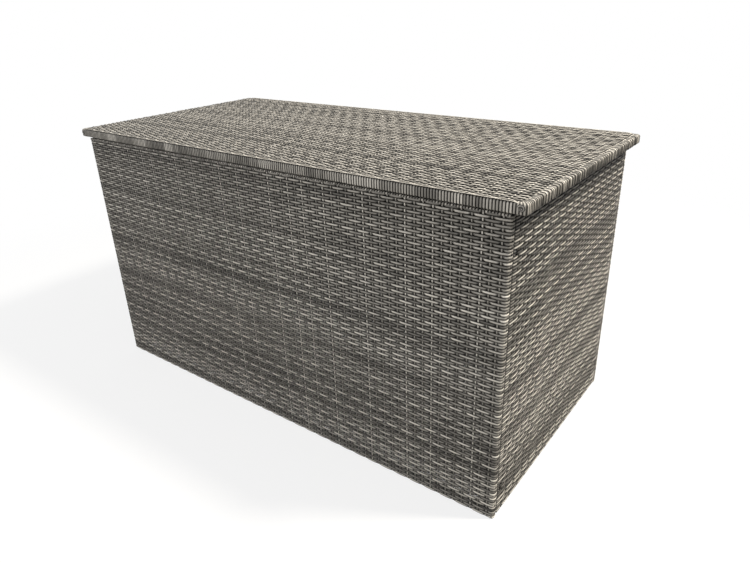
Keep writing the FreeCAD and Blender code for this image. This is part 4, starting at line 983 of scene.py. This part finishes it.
def makeFloor():
    reach = studio["floorReach"]
    mesh = bpy.data.meshes.new("studio_floor")
    mesh.from_pydata([(-reach, -reach, 0), (reach, -reach, 0), (reach, reach, 0), (-reach, reach, 0)],
                     [], [(0, 1, 2, 3)])
    floor = bpy.data.objects.new("studio_floor", mesh)
    scene.collection.objects.link(floor)
    material = bpy.data.materials.new("pale_floor")
    material.use_nodes = True
    nodes, links = material.node_tree.nodes, material.node_tree.links
    nodes.clear()
    diffuse = addNode(nodes, "ShaderNodeBsdfDiffuse")
    glow = addNode(nodes, "ShaderNodeEmission")
    seen = addNode(nodes, "ShaderNodeLightPath").outputs["Is Camera Ray"]
    place = addNode(nodes, "ShaderNodeTexCoord")
    distance = addNode(nodes, "ShaderNodeVectorMath", operation="LENGTH")
    links.new(place.outputs["Object"], distance.inputs[0])

    def fading(near, far):
        return addRange(nodes, links, distance.outputs["Value"], studio["shadowReach"], (near, far),
                        interpolation_type="SMOOTHSTEP")

    strength = addMath(nodes, links, "MULTIPLY", seen, fading(studio["floorGlow"], 1.0))
    paleness = addRange(nodes, links, seen, (0.0, 1.0), (studio["floor"], fading(studio["floorSeen"], 0.0)))
    links.new(strength, glow.inputs["Strength"])
    links.new(paleness, diffuse.inputs["Color"])
    both = addNode(nodes, "ShaderNodeAddShader")
    links.new(diffuse.outputs[0], both.inputs[0])
    links.new(glow.outputs[0], both.inputs[1])
    output = addNode(nodes, "ShaderNodeOutputMaterial")
    links.new(both.outputs[0], output.inputs["Surface"])
    mesh.materials.append(material)


def makeSky():
    # brighter overhead, and plain white to the camera and in reflections
    world = bpy.data.worlds.new("studio_sky")
    world.use_nodes = True
    scene.world = world
    nodes, links = world.node_tree.nodes, world.node_tree.links
    nodes.clear()
    sky = addNode(nodes, "ShaderNodeBackground", Color=(1, 1, 1, 1))
    direction = addNode(nodes, "ShaderNodeTexCoord")
    height = addNode(nodes, "ShaderNodeSeparateXYZ")
    links.new(direction.outputs["Generated"], height.inputs["Vector"])
    links.new(addRange(nodes, links, height.outputs["Z"], (0.0, 1.0), (studio["horizon"], studio["zenith"])),
              sky.inputs["Strength"])
    white = addNode(nodes, "ShaderNodeBackground", Color=(1, 1, 1, 1), Strength=1.0)
    rays = addNode(nodes, "ShaderNodeLightPath").outputs
    direct = addMath(nodes, links, "MAXIMUM", rays["Is Camera Ray"], rays["Is Glossy Ray"])
    blend = addNode(nodes, "ShaderNodeMixShader")
    links.new(addMath(nodes, links, "MAXIMUM", direct, rays["Is Transmission Ray"]), blend.inputs[0])
    links.new(sky.outputs[0], blend.inputs[1])
    links.new(white.outputs[0], blend.inputs[2])
    output = addNode(nodes, "ShaderNodeOutputWorld")
    links.new(blend.outputs[0], output.inputs["Surface"])


def makeLamps():
    for name, lamp in lamps.items():
        data = bpy.data.lights.new(name + "_light", "AREA")
        data.shape = "DISK"
        data.size = lamp["size"]
        data.energy = lamp["power"]
        data.color = lamp["tint"]
        light = bpy.data.objects.new(name + "_light", data)
        light.location = lamp["place"]
        toAim = np.array(studio["aim"], float) - np.array(light.location)
        light.rotation_euler = (math.atan2(math.hypot(toAim[0], toAim[1]), -toAim[2]), 0,
                                math.atan2(toAim[1], toAim[0]) - math.pi / 2)
        scene.collection.objects.link(light)


makeFloor()
makeSky()
makeLamps()
print("studio built")
